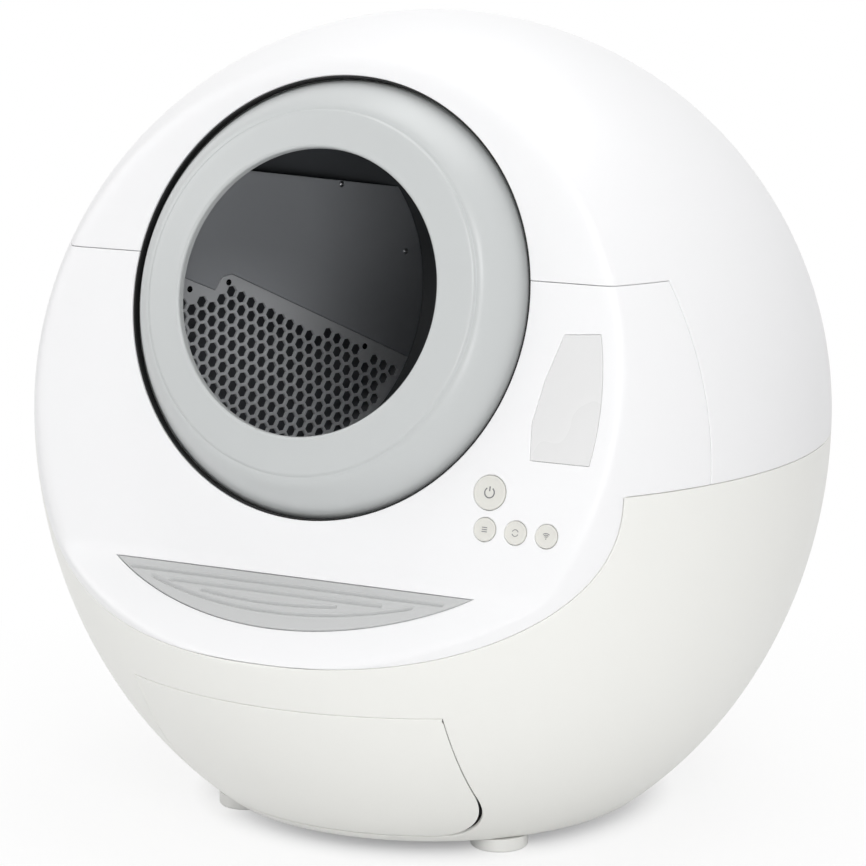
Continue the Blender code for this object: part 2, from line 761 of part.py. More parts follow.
def make_shells(body, face, chin, white, warm):
    """The lid, the base, the front panel and the drawer's front, all cut from one skin."""
    reach = BODY_RADIUS + OVERRUN
    deep = BELLY_DEPTH + OVERRUN
    half = SEAM_GAP / 2
    hollow = cutter("hollow", envelope("hollow", WALL), body)
    fitted = cutter("fitted_hollow", envelope("fitted_hollow", WALL + GAP), body)
    upper = cut_box("upper_room", (-reach, -reach, -EQUATOR_DROP + half), (reach, reach, reach), body)
    lower = cut_box("lower_room", (-reach, -reach, -BASE_DEPTH), (reach, reach, -EQUATOR_DROP - half), body)
    panel, drawer = panel_outline(), drawer_outline()
    panel_room = cut_prism("panel_room", grown(panel, half), -reach, -PANEL_BACK + half, body, True)
    panel_form = cut_prism("panel_form", grown(panel, -half), -reach, -PANEL_BACK - half, body, True)
    drawer_room = cut_prism("drawer_room", grown(drawer, half), -reach, 0, body, True)
    drawer_form = cut_prism("drawer_form", grown(drawer, -half), -reach, 0, body, True)
    rim = circle(NECK_RADIUS + RING_CLEARANCE, SHELL_TURNS, (0, RING_RISE))
    hole = cut_prism("ring_hole", rim, -OVERRUN, OVERRUN, face)
    half_width, half_height = INLET_WIDTH / 2 + GAP, INLET_HEIGHT / 2 + GAP
    inlet_room = cut_box("inlet_room", (-half_width, 0, -half_height), (half_width, reach, half_height),
                         body, (0, 0, -INLET_DROP))

    lid = piece("top_shell", envelope("top_shell", 0.0, SHELL_TURNS, OUTER_ROWS), white, body)
    for tool, operation in ((hollow, "DIFFERENCE"), (upper, "INTERSECT"), (panel_room, "DIFFERENCE"),
                            (hole, "DIFFERENCE")):
        combine(lid, tool, operation)
    base = piece("base_shell", envelope("base_shell", 0.0, SHELL_TURNS, OUTER_ROWS), warm, body)
    for tool, operation in ((hollow, "DIFFERENCE"), (lower, "INTERSECT"), (panel_room, "DIFFERENCE"),
                            (drawer_room, "DIFFERENCE"), (inlet_room, "DIFFERENCE")):
        combine(base, tool, operation)
    front = piece("drawer_front", envelope("drawer_front", 0.0, SHELL_TURNS, OUTER_ROWS), warm, body)
    combine(front, hollow)
    combine(front, drawer_form, "INTERSECT")

    panel = piece("front_panel", envelope("front_panel", 0.0, SHELL_TURNS, OUTER_ROWS), white, body)
    combine(panel, hollow)
    combine(panel, panel_form, "INTERSECT")
    combine(panel, hole)
    combine(panel, cut_prism("display_hole", grown(display_outline(), GAP), -OVERRUN, OVERRUN, face))
    outlines = []
    for across, drop, radius in button_places():
        outlines.append(circle(radius + BUTTON_CLEARANCE, KEY_TURNS, (across, -drop)))
    combine(panel, cut_prisms("button_holes", outlines, -OVERRUN, OVERRUN, face))
    combine(panel, cut_prism("pad_pocket", grown(pad_outline(), GAP), -PAD_RECESS, OVERRUN, chin))
    return fitted


def button_places():
    """Place across, drop and radius of the power button and the row of three keys."""
    across, rise = (DISPLAY_RADIUS * share for share in KEY_SHARES)
    keys = [(across + KEY_PITCH * index, -rise, KEY_RADIUS) for index in range(3)]
    across, rise = (DISPLAY_RADIUS * share for share in POWER_SHARES)
    return [(across, -rise, POWER_RADIUS)] + keys


def make_panel_parts(face, chin, fitted, pale, button_white, pad_grey, board_green):
    """What the front panel carries: the pad, the display, the buttons and their boards."""
    pad = prism("step_pad", pad_outline(), -PAD_RECESS + GAP, PAD_PROUD)
    piece("step_pad", pad, pad_grey, chin)
    piece("display_window", prism("display_window", display_outline(), -WALL, 0), pale, face)
    back = -WALL - GAP
    low, high = ([DISPLAY_RADIUS * share for share in corner] for corner in DISPLAY_BOARD_SHARES)
    board = box("display_board", (*low, back - BOARD_THICKNESS), (*high, back))
    piece("display_board", board, board_green, face)

    names = ("power_button", "mode_button", "clean_button", "wifi_button")
    for name, (across, drop, radius) in zip(names, button_places()):
        spot = (across, -drop, 0)
        profile = [(0, back - KEY_FLANGE_THICKNESS), (radius, back - KEY_FLANGE_THICKNESS),
                   (radius, KEY_PROUD / 2), (radius - KEY_PROUD, KEY_PROUD), (0, KEY_PROUD)]
        key = piece(name, turned(name, profile, KEY_TURNS), button_white, face, spot)
        low = back - KEY_FLANGE_THICKNESS
        flange = cylinder(f"{name}_flange", radius + KEY_FLANGE, low, back, KEY_TURNS)
        flange_form = cutter(f"{name}_flange", flange, face, spot)
        combine(flange_form, fitted, "INTERSECT")
        combine(key, flange_form, "UNION")

    level = back - KEY_FLANGE_THICKNESS - KEY_TRAVEL - GAP
    outline = [(DISPLAY_RADIUS * across, DISPLAY_RADIUS * rise) for across, rise in BUTTON_BOARD_SHARES]
    board = prism("button_board", outline, level - BOARD_THICKNESS, level)
    keys = piece("button_board", board, board_green, face)
    pegs = []
    for across, rise in PEG_SHARES:
        pegs.append(circle(PEG_RADIUS, SCREW_TURNS, (DISPLAY_RADIUS * across, DISPLAY_RADIUS * rise)))
    combine(keys, cut_prisms("board_pegs", pegs, level - BOARD_THICKNESS / 2, back, face), "UNION")


def make_drum(axis, body, ring_grey, drum_grey, dark, steel):
    """The two halves of the drum, its gear and bush, and the plates across it."""
    piece("drum_front", turned("drum_front", drum_front_profile(), DRUM_TURNS), ring_grey, axis)
    rear = piece("drum_rear", turned("drum_rear", drum_rear_profile(), DRUM_TURNS), drum_grey, axis)
    half = PORT_WIDTH / 2
    port_top = DRUM_RADIUS + OVERRUN
    port = cut_box("waste_port", (-half, DRUM_RADIUS / 2, -PORT_BACK), (half, port_top, PORT_FRONT), axis)
    combine(rear, port)

    low, high = -GEAR_PLACE - GEAR_WIDTH / 2, -GEAR_PLACE + GEAR_WIDTH / 2
    teeth = gear_outline(GEAR_TEETH, PINION_ANGLE * GEAR_TEETH / 360)
    gear = piece("ring_gear", prism("ring_gear", teeth, low, high), dark, axis)
    combine(gear, cut_bar("gear_bore", GEAR_SEAT, low - GEAR_WIDTH, high + GEAR_WIDTH, DRUM_TURNS, axis))
    tail = -DRUM_RADIUS - HUB_PROUD
    bush = [(PIN_RADIUS + GAP, tail), (BUSH_RADIUS, tail), (BUSH_RADIUS, tail + HUB_LENGTH),
            (PIN_RADIUS + GAP, tail + HUB_LENGTH)]
    piece("rear_bush", turned("rear_bush", bush, ROUND_TURNS), steel, axis)
    make_septum(axis, body, dark, drum_grey, steel)


def make_septum(axis, body, dark, drum_grey, steel):
    """The upright sieve and divider, cut to the drum's inside, with their screws."""
    turn = math.radians(SEPTUM_TURN)
    outward = np.array([math.sin(turn), -math.cos(turn), 0])
    centre = drum_centre() - outward * SEPTUM_OFFSET
    plane = frame("septum", body, centre, (90, 0, SEPTUM_TURN))
    half = SEPTUM_THICKNESS / 2
    hollow = cutter("drum_hollow", turned("drum_hollow", drum_hollow_profile(), DRUM_TURNS), axis)

    reach = SEPTUM_RADIUS + OVERRUN
    seam = seam_points()
    lower = [(x, y - GAP / 2) for x, y in seam] + [(seam[-1][0], -reach), (seam[0][0], -reach)]
    sieve = piece("sieve_plate", prism("sieve_plate", lower, -half, half), dark, plane)
    holes = [hexagon(HOLE_FLATS / math.sqrt(3), centre) for centre in sieve_holes()]
    combine(sieve, cut_prisms("sieve_holes", holes, -OVERRUN, OVERRUN, plane))
    ceiling = [(SEPTUM_RADIUS * across, SEPTUM_RADIUS * rise) for across, rise in CEILING_SHARES]
    upper = [(x, y + GAP / 2) for x, y in seam] + ceiling[::-1]
    divider = piece("divider_plate", prism("divider_plate", upper, -half, half), drum_grey, plane)
    places = SIEVE_SCREW_SHARES + DIVIDER_SCREW_SHARES
    spots = [(SEPTUM_RADIUS * across, SEPTUM_RADIUS * rise) for across, rise in places]
    bores = [circle(SCREW_SHANK + GAP, SCREW_TURNS, spot) for spot in spots]
    bore_tool = cut_prisms("screw_bores", bores, -OVERRUN, OVERRUN, plane)
    for plate in (sieve, divider):
        combine(plate, bore_tool)
        combine(plate, hollow, "INTERSECT")
    low = half + GAP
    top = low + SCREW_HEAD
    profile = [(0, -half), (SCREW_SHANK, -half), (SCREW_SHANK, low), (SCREW_RADIUS, low),
               (SCREW_RADIUS, low + SCREW_HEAD / 2), (SCREW_SHANK, top), (0, top)]
    for index, (across, rise) in enumerate(spots):
        name = f"screw_{index + 1}"
        piece(name, turned(name, profile, SCREW_TURNS), steel, plane, (across, rise, 0))


def make_carriage(axis, body, fitted, chassis, dark, steel, rubber):
    """Deck, roller stands, rear bearing and drive: all that carries and turns the drum."""
    deck_top = -DECK_DROP
    reach = BODY_RADIUS + OVERRUN
    deep = -BELLY_DEPTH - BODY_RADIUS
    slab = cut_box("below_deck", (-reach, -reach, deep), (reach, reach, deck_top + GAP), body)

    plate = cylinder("deck", reach, deck_top - DECK_THICKNESS, deck_top, SHELL_TURNS)
    deck = piece("deck", plate, chassis, body)
    combine(deck, fitted, "INTERSECT")
    x, front, back = CHUTE_HALF_WIDTH, -CHUTE_FRONT, -CHUTE_BACK
    combine(deck, cut_box("chute_hole", (-x, front, -BELLY_DEPTH), (x, back, 0), body))
    foot = FLOOR_THICKNESS + GAP - BASE_DEPTH
    half_leg = LEG_WIDTH / 2
    legs = []
    for side in (-1, 1):
        for end in (-1, 1):
            left, right = side * LEG_ACROSS - half_leg, side * LEG_ACROSS + half_leg
            near, far = end * LEG_ALONG - half_leg, end * LEG_ALONG + half_leg
            legs.append([(left, near), (right, near), (right, far), (left, far)])
    combine(deck, cut_prisms("deck_legs", legs, foot, deck_top - DECK_THICKNESS / 2, body), "UNION")

    wall = COLLAR_WALL
    low = deck_top - COLLAR_DEPTH
    top = deck_top + GAP + COLLAR_FLANGE_THICKNESS
    edge = COLLAR_FLANGE
    flange = box("chute_collar", (-x - edge, front - edge, deck_top + GAP), (x + edge, back + edge, top))
    collar = piece("chute_collar", flange, chassis, body)
    sleeve_top = deck_top + COLLAR_FLANGE_THICKNESS
    sleeve = cut_box("collar_sleeve", (-x + GAP, front + GAP, low), (x - GAP, back - GAP, sleeve_top), body)
    combine(collar, sleeve, "UNION")
    mouth = cut_box("collar_mouth", (-x + wall, front + wall, -BELLY_DEPTH), (x - wall, back - wall, 0), body)
    combine(collar, mouth)

    make_rollers(axis, slab, chassis, dark, steel)
    make_rear_bearing(axis, slab, chassis, steel)
    make_drive(axis, slab, fitted, chassis, dark, steel)
    base = FACE_DISTANCE - DRUM_FORWARD - WALL - SEAL_SETBACK
    inner = NECK_RADIUS + SEAL_CLEARANCE
    seal = [(inner, base - SEAL_THICKNESS), (inner + SEAL_WIDTH, base - SEAL_THICKNESS),
            (inner + SEAL_WIDTH, base), (inner, base)]
    piece("drum_seal", turned("drum_seal", seal, DRUM_TURNS), rubber, axis)


def make_rollers(axis, slab, chassis, dark, steel):
    """Four rollers under the drum's two tracks, each on an axle in its own yoke."""
    number = 0
    cheek = ROLLER_WIDTH / 2 + YOKE_SIDE_CLEARANCE
    outside = cheek + YOKE_CHEEK
    half = YOKE_WIDTH / 2
    for place, track in ((FRONT_TRACK_PLACE, FRONT_TRACK_RADIUS), (-REAR_TRACK_PLACE, REAR_TRACK_RADIUS)):
        for side in (-1, 1):
            number += 1
            distance = track + ROLLER_RADIUS + GAP
            angle = math.radians(ROLLER_ANGLE)
            spot = (side * distance * math.sin(angle), -distance * math.cos(angle), place)
            stand = frame(f"roller_stand_{number}", axis, spot)
            profile = [(AXLE_RADIUS + GAP, -ROLLER_WIDTH / 2), (ROLLER_RADIUS, -ROLLER_WIDTH / 2),
                       (ROLLER_RADIUS, ROLLER_WIDTH / 2), (AXLE_RADIUS + GAP, ROLLER_WIDTH / 2)]
            name = f"roller_{number}"
            piece(name, turned(name, profile, ROUND_TURNS), dark, stand)
            name = f"roller_axle_{number}"
            piece(name, cylinder(name, AXLE_RADIUS, -outside, outside, ROUND_TURNS), steel, stand)
            name = f"roller_bracket_{number}"
            block = box(name, (-half, -DRUM_RADIUS / 2, -outside), (half, YOKE_RISE, outside))
            yoke = piece(name, block, chassis, stand)
            low, high = -ROLLER_RADIUS - YOKE_FLOOR_CLEARANCE, YOKE_RISE + OVERRUN
            name = f"yoke_slot_{number}"
            combine(yoke, cut_box(name, (-YOKE_WIDTH, low, -cheek), (YOKE_WIDTH, high, cheek), stand))
            bore = AXLE_RADIUS + GAP
            combine(yoke, cut_bar(f"yoke_bore_{number}", bore, -OVERRUN, OVERRUN, ROUND_TURNS, stand))
            combine(yoke, slab)


def make_rear_bearing(axis, slab, chassis, steel):
    """The plate behind the drum and the pin on which the drum turns."""
    tail = -DRUM_RADIUS - HUB_PROUD
    near = tail - BRACKET_CLEARANCE
    far = near - BRACKET_THICKNESS
    half = BRACKET_WIDTH / 2
    steps = 8
    outline = [(-half, -DRUM_RADIUS - OVERRUN), (half, -DRUM_RADIUS - OVERRUN)]
    outline += [(half * math.cos(math.pi * step / steps), half * math.sin(math.pi * step / steps))
                for step in range(steps + 1)]
    bracket = piece("rear_bracket", prism("rear_bracket", outline, far, near), chassis, axis)
    top = -DRUM_RADIUS / 2 - BRACKET_FOOT * 2
    low = -DRUM_RADIUS - OVERRUN
    foot = cut_box("bracket_foot", (-half, low, far - BRACKET_FOOT / 2), (half, top, near), axis)
    combine(bracket, foot, "UNION")
    bore = PIN_RADIUS + GAP
    combine(bracket, cut_bar("pin_bore", bore, far - OVERRUN, near + OVERRUN, ROUND_TURNS, axis))
    combine(bracket, slab)
    head = far - GAP
    end = head - PIN_HEAD_THICKNESS
    profile = [(0, end), (PIN_HEAD_RADIUS, end), (PIN_HEAD_RADIUS, head), (PIN_RADIUS, head),
               (PIN_RADIUS, tail + PIN_ENGAGEMENT), (0, tail + PIN_ENGAGEMENT)]
    piece("pivot_pin", turned("pivot_pin", profile, ROUND_TURNS), steel, axis)


def make_drive(axis, slab, fitted, chassis, dark, steel):
    """The geared motor on its plate, and the pinion that turns the drum."""
    distance = GEAR_MODULE * (GEAR_TEETH + PINION_TEETH) / 2
    angle = math.radians(PINION_ANGLE)
    spot = (distance * math.cos(angle), distance * math.sin(angle), -GEAR_PLACE)
    seat = frame("drive_axis", axis, spot)
    half_width = GEAR_WIDTH / 2
    phase = (180 + PINION_ANGLE) * PINION_TEETH / 360 + 1 / 2
    teeth = prism("drive_pinion", gear_outline(PINION_TEETH, phase), -half_width, half_width)
    pinion = piece("drive_pinion", teeth, dark, seat)
    combine(pinion, cut_bar("pinion_bore", SHAFT_RADIUS + GAP, -OVERRUN, OVERRUN, ROUND_TURNS, seat))
    plate_top = -half_width - MOTOR_GAP
    plate_low = plate_top - MOTOR_PLATE_THICKNESS
    half = MOTOR_PLATE_WIDTH / 2
    plate = box("motor_bracket", (-half, -DRUM_RADIUS, plate_low), (half, half, plate_top))
    bracket = piece("motor_bracket", plate, chassis, seat)
    foot_top = -DRUM_RADIUS / 2 + BRACKET_FOOT
    foot_back = plate_low - BRACKET_FOOT
    foot = cut_box("motor_foot", (-half, -DRUM_RADIUS, foot_back), (half, foot_top, plate_top), seat)
    combine(bracket, foot, "UNION")
    combine(bracket, cut_bar("shaft_hole", 2 * SHAFT_RADIUS, -2 * OVERRUN, 0, ROUND_TURNS, seat))
    combine(bracket, slab)
    combine(bracket, fitted, "INTERSECT")
    face = plate_low - GAP
    end = face - MOTOR_LENGTH
    profile = [(0, end), (MOTOR_RADIUS - SHAFT_RADIUS, end), (MOTOR_RADIUS, end + SHAFT_RADIUS),
               (MOTOR_RADIUS, face), (SHAFT_RADIUS, face), (SHAFT_RADIUS, half_width), (0, half_width)]
    piece("drive_motor", turned("drive_motor", profile, ROUND_TURNS), steel, seat)


def make_floor(body, fitted, chassis, foot_pale, steel):
    """Bottom plate, feet and the scales over them."""
    floor = -BASE_DEPTH
    disc = cylinder("bottom_plate", BODY_RADIUS, floor, floor + FLOOR_THICKNESS, SHELL_TURNS)
    combine(piece("bottom_plate", disc, chassis, body), fitted, "INTERSECT")
    number = 0
    top = floor - GAP
    for end in (-1, 1):
        for side in (-1, 1):
            number += 1
            spot = (side * FOOT_ACROSS, end * FOOT_ALONG, 0)
            profile = [(0, -CENTRE_HEIGHT), (FOOT_RADIUS - FOOT_CHAMFER, -CENTRE_HEIGHT),
                       (FOOT_RADIUS, -CENTRE_HEIGHT + FOOT_CHAMFER), (FOOT_RADIUS, top), (0, top)]
            piece(f"foot_{number}", turned(f"foot_{number}", profile, FOOT_TURNS), foot_pale, body, spot)
            half = CELL_WIDTH / 2
            low = floor + FLOOR_THICKNESS + GAP
            cell = box(f"load_cell_{number}", (-half, -half, low), (half, half, low + CELL_HEIGHT))
            seat = (side * (FOOT_ACROSS - CELL_INSET), end * (FOOT_ALONG - CELL_INSET), 0)
            piece(f"load_cell_{number}", cell, steel, body, seat)


def tub(name, inset):
    """The tapered waste bin before its front is cut to the base's wall."""
    front = BODY_RADIUS
    back = BIN_BACK - inset
    low = BIN_RISE + inset - BASE_DEPTH
    high = BIN_TOP
    height = high + BASE_DEPTH - BIN_RISE
    if inset:
        high += OVERRUN
    narrow = BIN_BOTTOM_HALF_WIDTH - inset
    slope = (BIN_TOP_HALF_WIDTH - BIN_BOTTOM_HALF_WIDTH) / height
    wide = narrow + slope * (high - low)
    back_slope = BIN_BACK_TAPER / height
    rear_low = back - BIN_BACK_TAPER
    rear_high = rear_low + back_slope * (high - low)
    points = []
    for half, rear, level in ((narrow, rear_low, low), (wide, rear_high, high)):
        points += [(-half, -front, level), (half, -front, level), (half, rear, level), (-half, rear, level)]
    faces = [(0, 1, 2, 3), (4, 5, 6, 7), (0, 1, 5, 4), (1, 2, 6, 5), (2, 3, 7, 6), (3, 0, 4, 7)]
    return mesh_from(name, points, faces)


def make_drawer(body, fitted, bin_grey, chassis):
    """The waste bin with its runners, its bag frame and the rails in the base."""
    runner_top = BIN_TOP - RUNNER_DROP
    runner_low = runner_top - RUNNER_THICKNESS
    bin_piece = piece("drawer_bin", tub("drawer_bin", 0.0), bin_grey, body)
    half = RUNNER_HALF_WIDTH
    runner = cut_box("runner", (-half, -RUNNER_FRONT, runner_low), (half, RUNNER_BACK, runner_top), body)
    combine(bin_piece, runner, "UNION")
    combine(bin_piece, fitted, "INTERSECT")
    lining = cutter("bin_lining", envelope("bin_lining", WALL + GAP + BIN_WALL), body)
    cavity = cutter("bin_cavity", tub("bin_cavity", BIN_WALL), body)
    combine(cavity, lining, "INTERSECT")
    combine(bin_piece, cavity)

    low = BIN_TOP + GAP
    half = BIN_TOP_HALF_WIDTH - GAP
    slab = box("bag_frame", (-half, -RUNNER_FRONT, low), (half, RUNNER_BACK, low + FRAME_THICKNESS))
    inside, front, back = half - FRAME_WIDTH, -RUNNER_FRONT + FRAME_WIDTH, RUNNER_BACK - FRAME_WIDTH
    mouth = cut_box("bag_mouth", (-inside, front, -BELLY_DEPTH), (inside, back, 0), body)
    combine(piece("bag_frame", slab, chassis, body), mouth)

    rail_inner = DRAWER_HALF_WIDTH - RAIL_INSET
    rail_outer = LEG_ACROSS - LEG_WIDTH / 2 - GAP
    rail_top = runner_low - GAP
    for name, side in (("drawer_rail_left", -1), ("drawer_rail_right", 1)):
        near, far = sorted((side * rail_inner, side * rail_outer))
        rail = box(name, (near, -RUNNER_FRONT, rail_top - RAIL_HEIGHT), (far, RUNNER_BACK, rail_top))
        piece(name, rail, chassis, body)


def make_electrics(body, fitted, dark, board_green, filter_grey):
    """Control box on the deck, power inlet in the back and the filter under the lid."""
    level = GAP - DECK_DROP
    half_width = BOX_WIDTH / 2
    half_depth = BOX_DEPTH / 2
    top = level + BOX_HEIGHT
    control = box("control_board", (-half_width, -half_depth, level), (half_width, half_depth, top))
    piece("control_board", control, board_green, body, (-BOX_ACROSS, BOX_ALONG, 0))

    face = belly_radius(INLET_DROP) - INLET_SET_IN
    half_width = INLET_WIDTH / 2
    half_height = INLET_HEIGHT / 2
    spot = (0, 0, -INLET_DROP)
    back = face - INLET_LENGTH
    block = box("power_inlet", (-half_width, back, -half_height), (half_width, face, half_height))
    inlet = piece("power_inlet", block, dark, body, spot)
    wide, high = half_width + INLET_FLANGE, half_height + INLET_FLANGE
    flange = cut_box("inlet_flange", (-wide, face - INLET_LENGTH / 2, -high), (wide, face, high), body, spot)
    combine(flange, fitted, "INTERSECT")
    combine(inlet, flange, "UNION")
    bore = circle(SOCKET_RADIUS, ROUND_TURNS)
    socket = prism("inlet_socket", bore, face - SOCKET_DEPTH, face + OVERRUN, True)
    combine(inlet, cutter("inlet_socket", socket, body, spot))

    half = FILTER_WIDTH / 2
    front = BODY_RADIUS - FILTER_DEPTH
    carbon = box("filter_box", (-half, front, FILTER_BOTTOM), (half, BODY_RADIUS, FILTER_TOP))
    combine(piece("filter_box", carbon, filter_grey, body), fitted, "INTERSECT")


def main():
    """Builds the litter box."""
    clear_scene()
    white = finish("white_shell", (0.93, 0.93, 0.94), 0.30)
    warm = finish("warm_white_shell", (0.86, 0.86, 0.85), 0.35)
    ring_grey = finish("ring_grey", (0.60, 0.62, 0.62), 0.35)
    drum_grey = finish("drum_grey", (0.10, 0.11, 0.12), 0.40)
    dark = finish("dark_plastic", (0.13, 0.14, 0.16), 0.45)
    pale = finish("pale_window", (0.78, 0.79, 0.80), 0.25)
    button_white = finish("button_white", (0.75, 0.74, 0.70), 0.35)
    pad_grey = finish("pad_grey", (0.58, 0.58, 0.58), 0.60)
    rubber = finish("black_rubber", (0.03, 0.03, 0.03), 0.70)
    foot_pale = finish("foot_white", (0.70, 0.70, 0.68), 0.55)
    chassis = finish("chassis_plastic", (0.45, 0.46, 0.48), 0.50)
    bin_grey = finish("bin_plastic", (0.50, 0.51, 0.53), 0.45)
    steel = finish("steel", (0.60, 0.60, 0.62), 0.30, 1.0)
    board_green = finish("circuit_board", (0.05, 0.20, 0.10), 0.50)
    filter_grey = finish("filter_carbon", (0.20, 0.20, 0.20), 0.80)

    front_reach = belly_radius(APRON_DEPTH)
    body = frame("body_centre", None, (0, (front_reach - BODY_RADIUS) / 2, CENTRE_HEIGHT))
    lean = 90 - FACE_TILT
    face = frame("face_centre", body, face_normal() * FACE_DISTANCE, (lean, 0, 0))
    chin = frame("chin_crease", body, crease_point(), (CHIN_SLOPE, 0, 0))
    axis = frame("drum_axis", body, drum_centre(), (lean, 0, 0))

    fitted = make_shells(body, face, chin, white, warm)
    make_panel_parts(face, chin, fitted, pale, button_white, pad_grey, board_green)
    make_drum(axis, body, ring_grey, drum_grey, dark, steel)
    make_carriage(axis, body, fitted, chassis, dark, steel, rubber)
    make_floor(body, fitted, chassis, foot_pale, steel)
    make_drawer(body, fitted, bin_grey, chassis)
    make_electrics(body, fitted, dark, board_green, filter_grey)
    bpy.context.view_layer.update()


main()
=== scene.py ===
"""Dressed model of a ball-shaped self-cleaning litter box, laid out as a Blender add-on.

Lengths are metres and +Z is up. Every new surface is worked out with numpy: a grid of two
parameters, cut along its seams, with rolled edges and a wall. Places come from the frame.
"""
import math

import bpy
import numpy as np
from bpy.props import FloatProperty, FloatVectorProperty, IntProperty, PointerProperty
from mathutils import Matrix, Vector


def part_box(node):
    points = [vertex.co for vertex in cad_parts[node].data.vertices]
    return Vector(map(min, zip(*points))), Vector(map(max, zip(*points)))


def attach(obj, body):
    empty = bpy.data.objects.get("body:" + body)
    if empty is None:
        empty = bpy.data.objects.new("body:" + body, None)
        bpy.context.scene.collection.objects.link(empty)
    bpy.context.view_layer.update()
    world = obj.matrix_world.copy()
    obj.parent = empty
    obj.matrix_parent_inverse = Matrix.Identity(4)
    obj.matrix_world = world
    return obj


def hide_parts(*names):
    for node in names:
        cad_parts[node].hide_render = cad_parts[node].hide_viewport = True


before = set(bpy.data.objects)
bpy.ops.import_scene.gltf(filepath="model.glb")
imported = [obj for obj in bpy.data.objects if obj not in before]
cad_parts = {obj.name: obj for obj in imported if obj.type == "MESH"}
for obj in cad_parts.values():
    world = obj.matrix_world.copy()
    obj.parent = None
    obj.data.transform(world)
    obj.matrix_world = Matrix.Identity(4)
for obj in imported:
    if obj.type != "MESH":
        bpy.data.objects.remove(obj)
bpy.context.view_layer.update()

bl_info = {
    "name": "Ball-Shaped Litter Box",
    "version": (1, 0, 0),
    "blender": (4, 5, 0),
    "location": "View3D > Sidebar > Litter Box",
    "description": "Builds the housing, drum, sieve, pad and controls of a self-cleaning litter box",
    "category": "Add Mesh",
}

# Housing, as in the solids
BODY_RADIUS = 0.290
BELLY_DEPTH = 0.3335
CENTRE = np.array([0, -0.010746, 0.2877])
FLOOR_DROP = 0.2777
EQUATOR_DROP = 0.0077
FACE_TILT = math.radians(15.29)
FACE_DISTANCE = 0.1852
FACE_ROUNDING = 0.008
CREASE_DROP = 0.131
CHIN_SLOPE = math.radians(41.5)
CHIN_ROUNDING = 0.014
RIM_ANGLE = math.radians(3)
PANEL_TOP = 0.1267
PANEL_BACK = 0.117
APRON_HALF_WIDTH = 0.229
APRON_DEPTH = 0.126
APRON_POWER = 2.5
DRAWER_HALF_WIDTH = 0.120
DRAWER_TOP = 0.160
DRAWER_BOTTOM = 0.2717
DRAWER_CORNER = 0.0435
DRAWER_HOLE_CORNER = 0.041
DRAWER_GAP = 0.0013
INLET_DROP = 0.100
INLET_HALF = (0.0093, 0.0073)

# Drum and ring
RING_RISE = 0.0591
DRUM_FORWARD = 0.030
DRUM_RADIUS = 0.2155
DRUM_WALL = 0.003
DRUM_ROLL = 0.0008
ENTRY_RADIUS = 0.0978
RING_REACH = 0.0297
BROW_RISE = 0.0035
STEP_RADIUS = 0.125
STEP_DROP = 0.0022
STEP_EDGE = ((0.0005, -0.0019), (0.0010, -0.0008), (0.0017, -0.0001), (0.0028, 0.0002))
BROW_ENDS = (0.004, 0.0036)
BROW_SLOPE = BROW_RISE / (STEP_RADIUS - ENTRY_RADIUS) * 1.05
LIP_ROLL = 0.0022
RING_UNDERSIDE = ((ENTRY_RADIUS, 0), (ENTRY_RADIUS + 0.001, 0.0006), (STEP_RADIUS - 0.001, 0.001))
NECK_RADIUS = 0.1512
NECK_DEPTH = 0.012
NECK_BEVEL = 0.001
NECK_STEP = 0.0004
FLANK_FOOT = 0.009
FLANK_ANGLE = math.radians(28)
RING_GAP = 0.0014
RING_HOLE_DEPTH = 0.12
SEAL_RADII = (0.1512, 0.1524, 0.1557)
SEAL_LEVELS = (-0.0071, -0.0046, -0.0009)
SEAL_BEVEL = 0.0003
DRUM_SPLIT = 0.060
SPLIT_GAP = 0.0002
RIM_SLACK = 0.00001
DRUM_TURNS = 220
TRACKS = ((0.044, 0.2123), (-0.060, 0.2092))
TRACK_WIDTH = 0.012
PORT_HALF_WIDTH = 0.055
PORT_SPAN = (-0.048, 0.032)
HUB_RADIUS = 0.016
BUSH_RADIUS = 0.0083
HUB_PROUD = 0.002
HUB_LENGTH = 0.011
HUB_BEVEL = 0.001
TRACK_BEVEL = 0.0004

# Sieve and divider
SEPTUM_TURN = math.radians(65)
SEPTUM_OFFSET = 0.168
SEPTUM_THICKNESS = 0.0025
SEPTUM_RADIUS = 0.1285
PLATE_GAP = 0.0006
PLATE_SEAM = 0.0002
SIEVE_ROLL = 0.0004
DIVIDER_ROLL = 0.0005
SEAM_MARGIN = 0.0095
SCREW_MARGIN = 0.0073
HOLE_PITCH = 0.0104
HOLE_COLUMN = HOLE_PITCH * math.sqrt(3) / 2
HOLE_FLATS = 0.0082
HOLE_ANCHOR = (0.0088, -0.0594)
HOLE_RIM_MARGIN = 0.0065
SEAM_LINE = np.array([(-0.1478, 0.0452), (-0.0693, 0.0107), (-0.0627, 0.0200), (-0.0536, 0.0215),
                      (0.1478, -0.0771)])
SEAM_FOOT = np.array([(0.1478, -0.3), (-0.1478, -0.3)])
CEILING_LINE = np.array([(-0.1478, 0.1167), (0.1478, 0.0690)])
SIEVE_STEPS = (1.0, 0.35)
DIVIDER_SHEET = ((-0.130, -0.080), (0.135, 0.130), 0.004)
COMB_SPAN = (-0.134, 0.045)
COMB_COLUMNS = (-17, 17)
COMB_ROWS = (-10, 13)
SCREW_BORE = 0.0016
SCREW_SHANK = 0.0013
SCREW_LIFT = 0.0003
SCREW_DOME_DROP = 0.00127
SCREW_DOME = (0.00287, 33.2, 71.7)
SCREW_SOCKET = (0.0008, 0.0007)
SIEVE_SCREWS = ((-0.0926, 0.0137), (-0.0573, 0.0155), (0.0708, -0.0473))
DIVIDER_SCREWS = ((0.0493, 0.0819), (0.1115, 0.0242))

